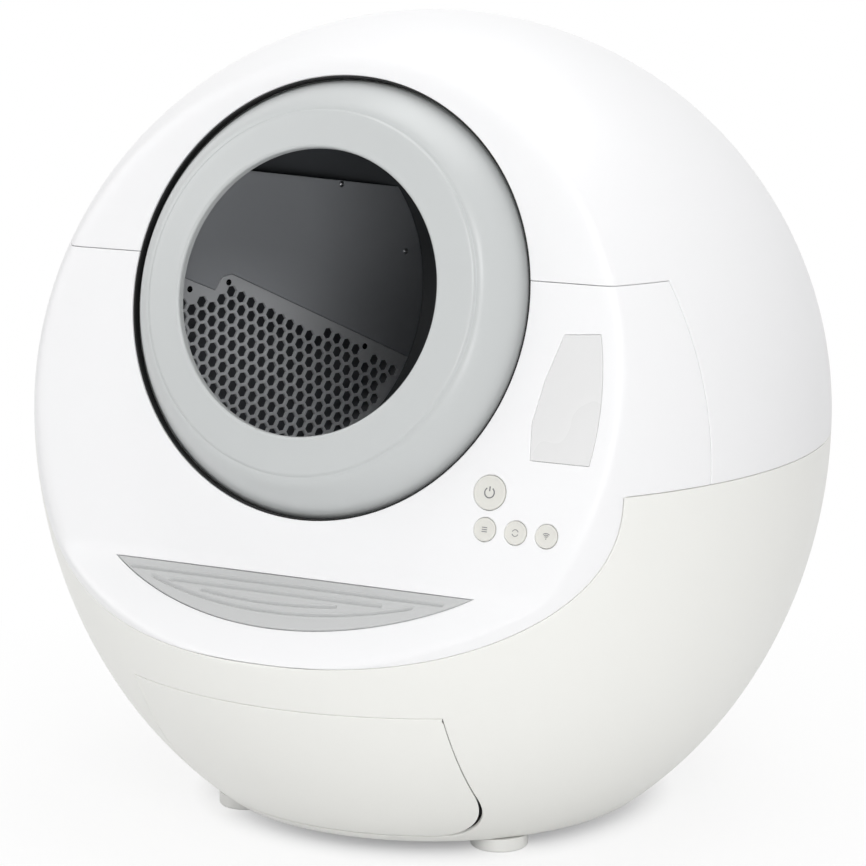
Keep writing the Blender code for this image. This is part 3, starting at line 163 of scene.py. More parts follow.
# Pad, display and buttons
PAD_HALF_WIDTH = 0.1384
PAD_SAG = 0.0423
PAD_SETBACK = 0.0020
PAD_RECESS = 0.0012
PAD_PROUD = 0.0012
PAD_GAP = 0.0004
PAD_BED = 0.0003
PAD_ROLL = 0.0006
PAD_STEPS = (1.0, 0.4)
PAD_BORDER = 0.0015
PAD_SHEET = ((-0.142, -0.047), (0.142, 0.001), 0.0016, 0.00045)
GROOVE_WIDTH = 0.00085
GROOVE_LIP = (0.22, 2.0, 0.7)
STRAIGHT_GROOVES = ((0.0080, -0.124, 0.118), (0.0148, -0.088, 0.075))
CURVED_GROOVES = ((0.311, 0.0300, -0.003, 0.1000), (0.388, 0.0232, -0.009, 0.0520))
DISPLAY_OUTLINE = np.array([(0.2059, 0.0491), (0.1800, 0.0470), (0.1700, 0.0159), (0.1641, -0.0140),
                            (0.1660, -0.0374), (0.2083, -0.0374)])
DISPLAY_RIM = 0.2117
DISPLAY_GAP = 0.0002
DISPLAY_STEP = 0.002
DISPLAY_ROLL = 0.0004
DISPLAY_THICKNESS = 0.0034
DISPLAY_SINK = 0.0001
KEYS = ((0.140, -0.061, 0.0115), (0.1395, -0.0855, 0.00785), (0.1618, -0.0855, 0.00785),
        (0.1841, -0.0855, 0.00785))
KEY_CLEARANCE = 0.0004
KEY_FLANGE = 0.0015
KEY_FOOT = -0.0050
KEY_LEDGE = -0.0038
KEY_EDGE = 0.0009
KEY_EDGE_LEVEL = -0.0001
KEY_DISH = ((0.86, 0.00072), (0.80, 0.00040), (0.60, 0.00032), (0.30, 0.00030), (0, 0.00030))
SIGN_RADIUS = 0.010
SIGN_LEVELS = (0.00020, 0.00042)

# Feet
FOOT_HOLLOW = 0.0010
FOOT_SOLE = ((0.006, FOOT_HOLLOW), (0.0055, 0.0), (0.0022, 0.0))
FOOT_ROLL = 0.0020
FOOT_BEVEL = 0.0004

# Steps of the surfaces, and the camera
FAR = 1.0
TINY = 1e-9
SNAP = 1e-6
SKIN_CELL = 0.012
SKIN_SEARCH = (0, 60, 2401)
SKIN_ROWS = ((0.62, 0.93, 24), (0.93, 1, 9), (1, 2, 31))
BACK_ROWS = 116
BACK_POWER = 1.5
LAST_ROW = 2.996
HOLE_DEPTH = 0.02
SHARP_ANGLE = math.radians(42)
CAMERA_PLACE = (26.7633, 11.5859, 2.2487)
CAMERA_TARGET = (0, -0.010746, 0.2692)
CAMERA = {"lens": 127.28, "sensor_width": 36, "clip_start": 0.05}

# Stage: lamps by name, place, size and watts; the floor's glow by distances and share
LAMPS = (("key", (-2.4, -1.4, 1.7), 1.6, 18), ("fill", (1.62, -2.50, 0.38), 0.8, 15),
         ("front", (1.45, -2.10, 1.90), 0.8, 20), ("top", (0.2, 0.6, 3.0), 2.0, 30))
ROOM_LEVEL = 0.43
FLOOR_REACH = 60.0
FLOOR_GLOW = ((0.11, 0.18, 0.84), (0.20, 0.60, 0.16))
WHITE = (1, 1, 1, 1)
BRIGHT = (0.97, 0.97, 0.97, 1)
PAPER = {"Base Color": (0.86, 0.86, 0.86, 1), "Roughness": 0.9, "Specular IOR Level": 0.1}

# Noise of the materials: scale and detail of the drifts, and the span that the noise fills
GLOSS_NOISE = (9.0, 3.0)
SHADE_NOISE = (4.0, 2.0)
GRAIN_DETAIL = 2.0
NOISE_SPAN = (0.3, 0.7)


# Directions and places

def unit(*values):
    """A vector as an array."""
    return np.array(values, dtype=float)


FACE_NORMAL = unit(0, -math.cos(FACE_TILT), math.sin(FACE_TILT))
FACE_UP = unit(0, math.sin(FACE_TILT), math.cos(FACE_TILT))
CHIN_NORMAL = unit(0, -math.sin(CHIN_SLOPE), math.cos(CHIN_SLOPE))
CHIN_UP = unit(0, math.cos(CHIN_SLOPE), math.sin(CHIN_SLOPE))
CREASE = FACE_NORMAL * FACE_DISTANCE - FACE_UP * CREASE_DROP
SEPTUM_NORMAL = unit(math.sin(SEPTUM_TURN), -math.cos(SEPTUM_TURN), 0)
DRUM_CENTRE = CENTRE + FACE_UP * RING_RISE + FACE_NORMAL * DRUM_FORWARD
SIDEWAYS = unit(1, 0, 0)
FACE_AXES = np.array([SIDEWAYS, FACE_UP, FACE_NORMAL])
CHIN_AXES = np.array([SIDEWAYS, CHIN_UP, CHIN_NORMAL])
SEPTUM_AXES = np.array([unit(math.cos(SEPTUM_TURN), math.sin(SEPTUM_TURN), 0), unit(0, 0, 1),
                        SEPTUM_NORMAL])
FACE = (CENTRE + FACE_NORMAL * FACE_DISTANCE, FACE_AXES)
CHIN = (CENTRE + CREASE, CHIN_AXES)
DRUM = (DRUM_CENTRE, FACE_AXES)
SEPTUM = (DRUM_CENTRE - SEPTUM_NORMAL * SEPTUM_OFFSET, SEPTUM_AXES)


def to_world(points, place):
    """Local points to the row frame: the place's origin plus each coordinate times its axis."""
    origin, axes = place
    return origin + points @ axes


def moved(place, x, y):
    """The same axes at another point of the place's plane."""
    return place[0] + unit(x, y, 0) @ place[1], place[1]


def on_face(points):
    """Points of the skin seen from the face: across, up and out."""
    return (points - FACE_NORMAL * FACE_DISTANCE) @ FACE_AXES.T


def on_chin(points):
    """Points of the skin seen from the chin: across, up and out."""
    return (points - CREASE) @ CHIN_AXES.T


# Surfaces: each is points, normals and triangles as whole arrays

def grid_triangles(rows, columns, closed):
    """Two triangles for each cell of a grid; closed joins the last column to the first."""
    index = np.arange(rows * columns).reshape(rows, columns)
    if closed:
        index = np.concatenate([index, index[:, :1]], axis=1)
    a, b, c, d = index[:-1, :-1], index[1:, :-1], index[1:, 1:], index[:-1, 1:]
    return np.concatenate([np.stack([a, b, c], -1).reshape(-1, 3), np.stack([a, c, d], -1).reshape(-1, 3)])


def point_normals(points, triangles):
    """At each point, the sum of the cross products of its triangles, made one long."""
    a, b, c = (points[triangles[:, k]] for k in range(3))
    cross = np.cross(b - a, c - a)
    total = np.stack([np.bincount(triangles.ravel(), np.repeat(cross[:, k], 3), len(points))
                      for k in range(3)], axis=1)
    return total / np.maximum(np.linalg.norm(total, axis=1, keepdims=True), 1e-12)


def outward(points, triangles):
    """A surface with its normals, turned to face away from the origin."""
    a, b, c = (points[triangles[:, k]] for k in range(3))
    if (np.cross(b - a, c - a) * (a + b + c)).sum() < 0:
        triangles = triangles[:, ::-1]
    return points, point_normals(points, triangles), triangles


def divided(surface, field, level=0.0):
    """Splits each triangle that crosses a level of a field, so that edges run along the level.

    On an edge from a to b the new point is a + (b - a) (level - f(a)) / (f(b) - f(a)).
    """
    points, normals, triangles = surface
    values = field(points) - level
    values = np.where(np.abs(values) < SNAP, SNAP, values)
    above = values[triangles] > 0
    count = above.sum(axis=1)
    mixed = (count == 1) | (count == 2)
    if not mixed.any():
        return surface
    crossing = triangles[mixed]
    lone = np.where(count[mixed] == 1, above[mixed].argmax(axis=1), above[mixed].argmin(axis=1))
    pick = np.arange(len(crossing))
    a, b, c = (crossing[pick, (lone + k) % 3] for k in range(3))
    pairs = np.sort(np.concatenate([np.stack([a, b], 1), np.stack([a, c], 1)]), axis=1)
    code, where = np.unique(pairs[:, 0] * len(points) + pairs[:, 1], return_inverse=True)
    low, high = code // len(points), code % len(points)
    share = (values[low] / (values[low] - values[high]))[:, None]
    fresh = points[low] + (points[high] - points[low]) * share
    tilted = normals[low] + (normals[high] - normals[low]) * share
    tilted /= np.maximum(np.linalg.norm(tilted, axis=1, keepdims=True), 1e-12)
    on_ab = len(points) + where[:len(crossing)]
    on_ac = len(points) + where[len(crossing):]
    pieces = [triangles[~mixed], np.stack([a, on_ab, on_ac], 1), np.stack([on_ab, b, c], 1),
              np.stack([on_ab, c, on_ac], 1)]
    return np.concatenate([points, fresh]), np.concatenate([normals, tilted]), np.concatenate(pieces)


def in_use(triangles, *values):
    """The rows of each array that the triangles use, and the triangles numbered to match."""
    used, index = np.unique(triangles, return_inverse=True)
    return *(rows[used] for rows in values), index.reshape(-1, 3)


def open_edges(triangles):
    """The edges that only one triangle has, as pairs of points in that triangle's order."""
    edges = np.concatenate([triangles[:, [0, 1]], triangles[:, [1, 2]], triangles[:, [2, 0]]])
    low, high = np.sort(edges, axis=1).T
    _, first, times = np.unique(low * (high.max() + 1) + high, return_index=True, return_counts=True)
    return edges[first[times == 1]]


def trimmed(surface, lines, region):
    """Cuts a surface along every line, then keeps the triangles whose middle is in the region."""
    for line in lines:
        surface = divided(surface, line)
    points, normals, triangles = surface
    return in_use(triangles[region(points[triangles].mean(axis=1)) > 0], points, normals)


def unpinched(surface):
    """The surface without the triangles at points where two stretches of its edge meet."""
    points, normals, triangles = surface
    pinched = np.ones(1, dtype=bool)
    while pinched.any():
        pinched = np.bincount(open_edges(triangles).ravel(), minlength=len(points)) > 2
        triangles = triangles[~pinched[triangles].any(axis=1)]
    return in_use(triangles, points, normals)


def rolled(surface, region, roll, wall, shares=(1.0, 0.6, 0.3, 0.08)):
    """A closed wall whose outer edge is rounded over.

    At a distance s inside the edge the surface sinks by r - sqrt(r^2 - (r - s)^2) for s under r.
    The inner side is the same sheet one wall deeper, and a strip joins the two along the edge.
    """
    for share in shares:
        surface = divided(surface, region, roll * share)
    points, normals, triangles = unpinched(surface)
    inside = np.clip(region(points), 0, roll)
    depth = roll - np.sqrt(np.maximum(roll ** 2 - (roll - inside) ** 2, 0))
    outer = points - normals * depth[:, None]
    inner = points - normals * wall
    a, b = open_edges(triangles).T
    deep = len(points)
    strip = [np.stack([b, a, a + deep], 1), np.stack([b, a + deep, b + deep], 1)]
    return np.concatenate([outer, inner]), np.concatenate([triangles, triangles[:, ::-1] + deep] + strip)


def carried(profile, turns):
    """Each radius r and height z of a profile at the points (r cos a, r sin a, z) of a full turn."""
    angle = 2 * np.pi * np.arange(turns) / turns
    return np.stack([profile[:, :1] * np.cos(angle), profile[:, :1] * np.sin(angle),
                     np.repeat(profile[:, 1:], turns, axis=1)], axis=-1).reshape(-1, 3)


def turned(profile, turns, place):
    """A solid: a closed profile of radius and height carried round a place's Z axis."""
    profile = np.asarray(profile, dtype=float)
    points = carried(profile, turns)
    triangles = grid_triangles(len(profile) + 1, turns, True) % len(points)
    (r, z), (r2, z2) = profile.T, np.roll(profile, -1, axis=0).T
    if (r * z2 - r2 * z).sum() > 0:
        triangles = triangles[:, ::-1]
    on_axis = profile[:, 0] < TINY
    if on_axis.any():
        merged = np.arange(len(points)).reshape(len(profile), turns)
        merged[on_axis] = merged[on_axis][:, :1]
        triangles = merged.ravel()[triangles]
        whole = (triangles != np.roll(triangles, 1, axis=1)).all(axis=1)
        points, triangles = in_use(triangles[whole], points)
    return to_world(points, place), triangles


def joined(*parts):
    """Several meshes as one list of points and triangles."""
    points, triangles, start = [], [], 0
    for some, faces in parts:
        points.append(some)
        triangles.append(faces + start)
        start += len(some)
    return np.concatenate(points), np.concatenate(triangles)


def arc(centre, radius, start, end, steps):
    """Points on a circular arc, angles in degrees."""
    angle = np.radians(np.linspace(start, end, steps))
    return np.stack([centre[0] + radius * np.cos(angle), centre[1] + radius * np.sin(angle)], 1)


def flat(points, triangles):
    """Points and triangles of a plane as a surface that faces local Z."""
    points = np.column_stack([points, np.zeros(len(points))])
    return points, np.tile(unit(0, 0, 1), (len(points), 1)), triangles


def plane_sheet(low, high, across_step, rise_step=None):
    """A flat grid between two corners, facing local Z."""
    columns = int(math.ceil((high[0] - low[0]) / across_step)) + 1
    rows = int(math.ceil((high[1] - low[1]) / (rise_step or across_step))) + 1
    across, along = np.meshgrid(np.linspace(low[0], high[0], columns), np.linspace(low[1], high[1], rows))
    return flat(np.stack([across.ravel(), along.ravel()], 1), grid_triangles(rows, columns, False)[:, ::-1])


def polygon_distance(points, corners):
    """Distance inside a polygon, negative outside, from its nearest side."""
    best = np.full(len(points), FAR)
    inside = np.zeros(len(points), dtype=bool)
    for (x0, y0), (x1, y1) in zip(corners, np.roll(corners, -1, axis=0)):
        dx, dy = x1 - x0, y1 - y0
        along = np.clip(((points[:, 0] - x0) * dx + (points[:, 1] - y0) * dy) / (dx * dx + dy * dy), 0, 1)
        best = np.minimum(best, np.hypot(points[:, 0] - x0 - along * dx, points[:, 1] - y0 - along * dy))
        spans = (y0 > points[:, 1]) != (y1 > points[:, 1])
        cross = x0 + (points[:, 1] - y0) * dx / (dy if dy else 1e-12)
        inside ^= spans & (points[:, 0] < cross)
    return np.where(inside, best, -best)


def cell_middles(i, j):
    """Middle of cell i, j of the honeycomb, from its anchor.

    It lies i sqrt(3) / 2 pitches across and j + (i mod 2) / 2 pitches up.
    """
    return np.stack([HOLE_ANCHOR[0] + i * HOLE_COLUMN, HOLE_ANCHOR[1] + (j + i % 2 / 2) * HOLE_PITCH], 1)


def side_lines(corners):
    """For each side of a polygon, the field that is zero along that side's endless line."""
    lines = []
    for (x0, y0), (x1, y1) in zip(corners, np.roll(corners, -1, axis=0)):
        length = math.hypot(x1 - x0, y1 - y0)
        lines.append(lambda p, a=(x0, y0, (x1 - x0) / length, (y1 - y0) / length):
                     (p[:, 0] - a[0]) * a[3] - (p[:, 1] - a[1]) * a[2])
    return lines


def plate(sheet, lines, region, place, lift, *edge):
    """A flat plate: the sheet cut along lines, kept in the region, rolled, lifted and put in a place."""
    points, triangles = rolled(trimmed(sheet, lines, region), region, *edge)
    return to_world(points + unit(0, 0, lift), place), triangles


# The housing's form

def least(*fields):
    """The smallest of several fields at each point."""
    return np.minimum.reduce(fields)


def smaller(first, second, rounding):
    """The lesser of two sizes, rounded where they meet."""
    share = np.clip((second - first) / rounding / 2 + 0.5, 0, 1)
    return second + (first - second) * share - rounding * share * (1 - share)


def reach_along(normal, distance, directions):
    """How far each direction runs before it meets a plane."""
    return distance / np.maximum(directions @ normal, distance / BODY_RADIUS / 20)


def ball_reach(directions):
    """How far each direction runs to the ball, or below the centre to the deeper belly."""
    depth = np.where(directions[..., 2] < 0, BELLY_DEPTH, BODY_RADIUS)
    flat = (directions[..., 0] ** 2 + directions[..., 1] ** 2) / BODY_RADIUS ** 2
    return 1 / np.sqrt(flat + directions[..., 2] ** 2 / depth ** 2)


def front_reach(tilt, turn):
    """Directions by tilt from the face's normal and turn round it, and their reach to face and chin."""
    turn = turn[None, :]
    directions = (np.cos(tilt)[..., None] * FACE_NORMAL
                  + (np.sin(tilt) * np.cos(turn))[..., None] * SIDEWAYS
                  + (np.sin(tilt) * np.sin(turn))[..., None] * FACE_UP)
    return (directions, reach_along(FACE_NORMAL, FACE_DISTANCE, directions),
            reach_along(CHIN_NORMAL, float(CHIN_NORMAL @ CREASE), directions))


def housing_skin(turns):
    """The whole outer form: each direction runs to the ball or belly, stopped by the face and chin.

    Rows are spaced between three tilts for each turn: the face's end, the rim and the back, so
    the grid follows the crease and the rim. The grid starts inside the ring's hole.
    """
    turn = 2 * np.pi * np.arange(turns) / turns
    search = np.radians(np.linspace(*SKIN_SEARCH))
    directions, face, chin = front_reach(search[:, None], turn)
    rim = search[np.argmax(np.maximum(face, chin) > ball_reach(directions), axis=0)]
    crease = np.argmax(chin > face, axis=0)
    crease = np.where(crease > 0, np.minimum(search[crease], rim - RIM_ANGLE), rim - RIM_ANGLE)
    back = 2 + np.linspace(0, 1, BACK_ROWS) ** BACK_POWER
    shares = np.unique(np.concatenate([*(np.linspace(*rows) for rows in SKIN_ROWS), back]))
    shares[-1] = LAST_ROW
    tilt = [np.interp(shares, range(4), (0, near, far, math.pi)) for near, far in zip(crease, rim)]
    directions, face, chin = front_reach(np.array(tilt).T, turn)
    front = -smaller(-face, -chin, CHIN_ROUNDING)
    points = (directions * smaller(ball_reach(directions), front, FACE_ROUNDING)[..., None]).reshape(-1, 3)
    pole = (-FACE_NORMAL * ball_reach(-FACE_NORMAL))[None, :]
    last = len(points) - turns + np.arange(turns)
    fan = np.stack([last, np.full(turns, len(points)), np.roll(last, -1)], 1)
    triangles = np.concatenate([grid_triangles(len(shares), turns, True), fan])
    return outward(np.concatenate([points, pole]), triangles)


def apron(points):
    """Distance inside the apron's curve, |x/a|^n + |z/b|^n = 1, from the value over its slope."""
    x = np.abs(points[:, 0]) / APRON_HALF_WIDTH
    z = np.abs(points[:, 2]) / APRON_DEPTH
    size = np.maximum((x ** APRON_POWER + z ** APRON_POWER) ** (1 / APRON_POWER), SNAP)
    slope = np.hypot((x / size) ** (APRON_POWER - 1) / APRON_HALF_WIDTH,
                     (z / size) ** (APRON_POWER - 1) / APRON_DEPTH)
    return (1 - size) / np.maximum(slope, SNAP)


def panel_top(points):
    """Distance under the panel's top edge."""
    return PANEL_TOP - points[:, 2]


def panel_back(points):
    """Distance in front of the ears' rear edge."""
    return -PANEL_BACK - points[:, 1]


def equator(points):
    """Height over the seam of the two shells."""
    return points[:, 2] + EQUATOR_DROP


def panel_side(points):
    """Distance inside the band or the apron."""
    return np.maximum(equator(points), apron(points))


def panel(points):
    """Distance inside the front panel's outline."""
    return least(panel_top(points), panel_back(points), panel_side(points))


def drawer(points, radius=DRAWER_CORNER):
    """Distance inside the drawer's outline; its lower corners are round."""
    across = np.abs(points[:, 0]) - (DRAWER_HALF_WIDTH - radius)
    under = -(DRAWER_BOTTOM - radius) - points[:, 2]
    corner = radius - np.hypot(np.maximum(across, 0), np.maximum(under, 0))
    side = DRAWER_HALF_WIDTH - np.abs(points[:, 0])
    bottom = DRAWER_BOTTOM + points[:, 2]
    round_corner = np.where((across > 0) & (under > 0), corner, np.minimum(side, bottom))
    inside = np.minimum(round_corner, -DRAWER_TOP - points[:, 2])
    return np.where(points[:, 1] < 0, inside, -FAR)


def away_from(points, x, y):
    """Distance from an upright line through x and y."""
    return np.hypot(points[:, 0] - x, points[:, 1] - y)


def ring_hole(points):
    """Distance outside the hole for the ring, measured along the face."""
    local = on_face(points)
    outside = away_from(local, 0, RING_RISE) - NECK_RADIUS - RING_GAP
    return np.where(local[:, 2] > -RING_HOLE_DEPTH, outside, FAR)


def key_holes(points):
    """Distance outside the round holes of the buttons."""
    local = on_face(points)
    outside = least(*(away_from(local, x, y) - radius for x, y, radius in KEYS)) - KEY_CLEARANCE
    return np.where(local[:, 2] > -HOLE_DEPTH, outside, FAR)


def display_outline():
    """The display's corners, with its right side along the rim of the face."""
    low, high = DISPLAY_OUTLINE[-1], DISPLAY_OUTLINE[0]
    rise = np.linspace(low[1], high[1], 12)[1:-1]
    return np.concatenate([DISPLAY_OUTLINE, np.stack([np.sqrt(DISPLAY_RIM ** 2 - rise ** 2), rise], 1)])


def display_hole(points):
    """Distance outside the display."""
    local = on_face(points)
    return np.where(local[:, 2] > -HOLE_DEPTH, -polygon_distance(local, display_outline()), FAR)


def pad_inside(local):
    """Distance inside the crescent: under its straight edge and within its arc."""
    radius = (PAD_HALF_WIDTH ** 2 + PAD_SAG ** 2) / PAD_SAG / 2
    middle = -PAD_SETBACK + radius - PAD_SAG
    return np.minimum(-PAD_SETBACK - local[:, 1], radius - away_from(local, 0, middle))


def pad_hole(points):
    """Distance outside the pad, on the chin."""
    local = on_chin(points)
    return np.where(local[:, 2] > -HOLE_DEPTH, -pad_inside(local), FAR)


def inlet_hole(points):
    """Distance outside the power inlet's opening in the back."""
    across = np.abs(points[:, 0]) - INLET_HALF[0]
    rise = np.abs(points[:, 2] + INLET_DROP) - INLET_HALF[1]
    return np.where(points[:, 1] > 0, np.maximum(across, rise), FAR)


# Materials

def linear(code):
    """An sRGB hex colour as linear light."""
    values = [int(code[k:k + 2], 16) / 255 for k in (0, 2, 4)]
    return [v / 12.92 if v <= 0.04045 else ((v + 0.055) / 1.055) ** 2.4 for v in values]


def add_node(tree, kind, settings=None, links=None):
    """Adds a shader node, sets its properties and sockets, and links its inputs."""
    node = tree.nodes.new("ShaderNode" + kind)
    for key, value in (settings or {}).items():
        if isinstance(key, str) and hasattr(node, key):
            setattr(node, key, value)
        else:
            node.inputs[key].default_value = value
    for key, socket in (links or {}).items():
        tree.links.new(socket, node.inputs[key])
    return node


def surface_finish(name, colour, roughness, grain, height, spread, shade, metallic=0.0):
    """A moulded or rolled surface: fine grain as bump, and slow drifts of gloss and shade.

    grain is the real size of the texture in metres and height its depth; spread is how far the
    roughness drifts, and shade how far the colour does.
    """
    material = bpy.data.materials.new(name)
    material.use_nodes = True
    tree = material.node_tree
    shader = tree.nodes["Principled BSDF"]
    shader.inputs["Metallic"].default_value = metallic
    place = add_node(tree, "TexCoord").outputs["Object"]

    def noise(scale, detail):
        node = add_node(tree, "TexNoise", {"Scale": scale, "Detail": detail}, {"Vector": place})
        return node.outputs["Fac"]

    low, high = NOISE_SPAN
    gloss = add_node(tree, "MapRange", {"From Min": low, "From Max": high, "To Min": roughness - spread,
                                        "To Max": roughness + spread}, {"Value": noise(*GLOSS_NOISE)})
    mix = add_node(tree, "Mix", {"data_type": "RGBA"}, {"Factor": noise(*SHADE_NOISE)})
    mix.inputs["A"].default_value = (*(value * (1 - shade) for value in colour), 1)
    mix.inputs["B"].default_value = (*colour, 1)
    bump = add_node(tree, "Bump", {"Strength": 1.0, "Distance": height},
                    {"Height": noise(1 / grain, GRAIN_DETAIL)})
    for node, result, socket in ((gloss, "Result", "Roughness"), (mix, "Result", "Base Color"),
                                 (bump, "Normal", "Normal")):
        tree.links.new(node.outputs[result], shader.inputs[socket])
    return material


# Name, colour or its setting, roughness, grain, depth, drift of gloss and of shade, metal
LOOKS = {
    # ABS from a polished mould: glossy, with the faint waviness of a large moulding
    "white": ("Glossy white ABS", "white_abs", 0.40, 0.012, 0.00002, 0.05, 0.010),
    # ABS from a finely blasted mould: satin, a little warmer than the lid
    "warm": ("Satin warm white ABS", "warm_abs", 0.38, 0.004, 0.00002, 0.05, 0.015),
    # Tinted ABS of the drum's ring: satin, cool grey
    "ring": ("Satin light grey ABS", "ring_abs", 0.36, 0.004, 0.00002, 0.05, 0.020),
    # Polypropylene of the drum's back: dark and slightly waxy
    "drum": ("Dark grey polypropylene", "drum_pp", 0.42, 0.0015, 0.00004, 0.06, 0.10),
    # Polypropylene of the divider: paler, with the same waxy sheen
    "divider": ("Light grey moulded polypropylene", "divider_pp", 0.40, 0.0015, 0.00004, 0.06, 0.06),
    # Glass-filled nylon of the sieve and the drive: light grey, with a fine speckle
    "sieve": ("Light grey filled nylon", "sieve_pa", 0.45, 0.0012, 0.00005, 0.06, 0.12),
    # Thermoplastic rubber of the pad: matt, finely grained
    "pad": ("Matt grey thermoplastic rubber", "pad_tpe", 0.62, 0.0010, 0.00008, 0.04, 0.04),
    # Frosted acrylic over the display, back-printed pale grey
    "window": ("Back-printed pale acrylic", "window_pmma", 0.28, 0.010, 0.00001, 0.03, 0.010),
    # ABS of the buttons: satin, faintly yellow
    "key": ("Satin ivory ABS", "key_abs", 0.36, 0.002, 0.00002, 0.04, 0.02),
    # Pad-printed ink of the signs on the buttons
    "ink": ("Grey printing ink", "ink", 0.50, 0.001, 0.00001, 0.04, 0.05),
    # Synthetic rubber of the drum's seal: black, dull
    "seal": ("Black EPDM rubber", "0C0D0E", 0.70, 0.0012, 0.00005, 0.05, 0.20),
    # Thermoplastic of the feet: off-white, soft sheen
    "foot": ("Off-white soft-touch rubber", "EDEDEA", 0.55, 0.0012, 0.00005, 0.05, 0.05),
    # Polypropylene of hidden brackets and rails
    "chassis": ("Mid grey polypropylene", "8E9094", 0.50, 0.0015, 0.00005, 0.06, 0.06),
    # Polypropylene of the waste bin
    "bin": ("Light grey polypropylene", "A2A4A8", 0.45, 0.0015, 0.00004, 0.06, 0.05),
    # Zinc-plated steel of screws, pins and cells: metal with a grey bloom
    "steel": ("Zinc-plated steel", "B9BABD", 0.32, 0.0008, 0.00002, 0.08, 0.10, 1.0),
    # Blackened steel of the sieve's screws: dark oxide with an oily sheen
    "black steel": ("Blackened steel", "17181A", 0.38, 0.0008, 0.00002, 0.08, 0.10, 1.0),
    # Glass-fibre boards under green lacquer
    "board": ("Lacquered circuit board", "1E5B35", 0.40, 0.0006, 0.00003, 0.05, 0.15),
    # Carbon felt of the odour filter
    "filter": ("Charcoal filter felt", "3A3A3A", 0.85, 0.0012, 0.0004, 0.05, 0.25),
}
FINISHES = {}


def finish(key):
    """The material of a look, made once, with its colour from the scene's settings if it has one."""
    if key not in FINISHES:
        name, colour, *rest = LOOKS[key]
        settings = bpy.context.scene.litter_box_colours
        FINISHES[key] = surface_finish(name, getattr(settings, colour, None) or linear(colour), *rest)
    return FINISHES[key]


# Pieces

def add_piece(name, shape, body, slot, *looks, marks=None):
    """A mesh in the row frame that rides on a body and stands for the CAD node of its name."""
    points, triangles = shape
    mesh = bpy.data.meshes.new(name)
    mesh.vertices.add(len(points))
    mesh.vertices.foreach_set("co", np.ascontiguousarray(points, dtype=np.float32).ravel())
    mesh.loops.add(3 * len(triangles))
    mesh.loops.foreach_set("vertex_index", np.ascontiguousarray(triangles, dtype=np.int32).ravel())
    mesh.polygons.add(len(triangles))
    mesh.polygons.foreach_set("loop_start", np.arange(0, 3 * len(triangles), 3, dtype=np.int32))
    if marks is not None:
        mesh.polygons.foreach_set("material_index", np.asarray(marks, dtype=np.int32))
    mesh.update(calc_edges=True)
    mesh.validate()
    mesh.shade_smooth()
    mesh.set_sharp_from_angle(angle=SHARP_ANGLE)
    for look in looks:
        mesh.materials.append(finish(look))
    item = bpy.data.objects.new(name, mesh)
    bpy.context.scene.collection.objects.link(item)
    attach(item, body)
    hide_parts(name)


class LitterBoxSizes(bpy.types.PropertyGroup):
    """Sizes that a user would change."""

    seam: FloatProperty(name="Seam", description="Width of the seams between the shells", default=0.0004,
                        min=0.0003, max=0.002, unit="LENGTH")
    roll: FloatProperty(name="Edge Roll", description="Radius of the shells' edges", default=0.0006,
                        min=0.0002, max=0.002, unit="LENGTH")
    wall: FloatProperty(name="Wall", description="Thickness of the shells", default=0.0024,
                        min=0.001, max=0.0034, unit="LENGTH")
    groove: FloatProperty(name="Groove Depth", description="Depth of the pad's grooves", default=0.0017,
                          min=0.0, max=0.0018, unit="LENGTH")
    turns: IntProperty(name="Turns", description="Columns of the housing's grid", default=320,
                       min=96, max=480)


def plastic(name, description, code):
    """A colour of a plastic as a property, from its sRGB hex code."""
    return FloatVectorProperty(name=name, description=description, default=linear(code),
                               subtype="COLOR", min=0, max=1)


class LitterBoxColours(bpy.types.PropertyGroup):
    """Colours of the plastics, as linear light."""

    white_abs: plastic("White ABS", "Lid and front panel", "F6F6F7")
    warm_abs: plastic("Warm White ABS", "Base and drawer", "F3F3EF")
    ring_abs: plastic("Grey ABS", "Ring round the entry", "C8CBCB")
    drum_pp: plastic("Drum", "Back of the drum", "64676B")
    divider_pp: plastic("Divider", "Plate over the sieve", "BEC1C6")
    sieve_pa: plastic("Sieve", "Sieve with hexagonal holes", "E8EAED")
    pad_tpe: plastic("Pad", "Step pad on the chin", "C9CACA")
    window_pmma: plastic("Display", "Display window", "E6E6E6")
    key_abs: plastic("Buttons", "Round buttons", "E2E1DB")
    ink: plastic("Ink", "Signs on the buttons", "77777A")


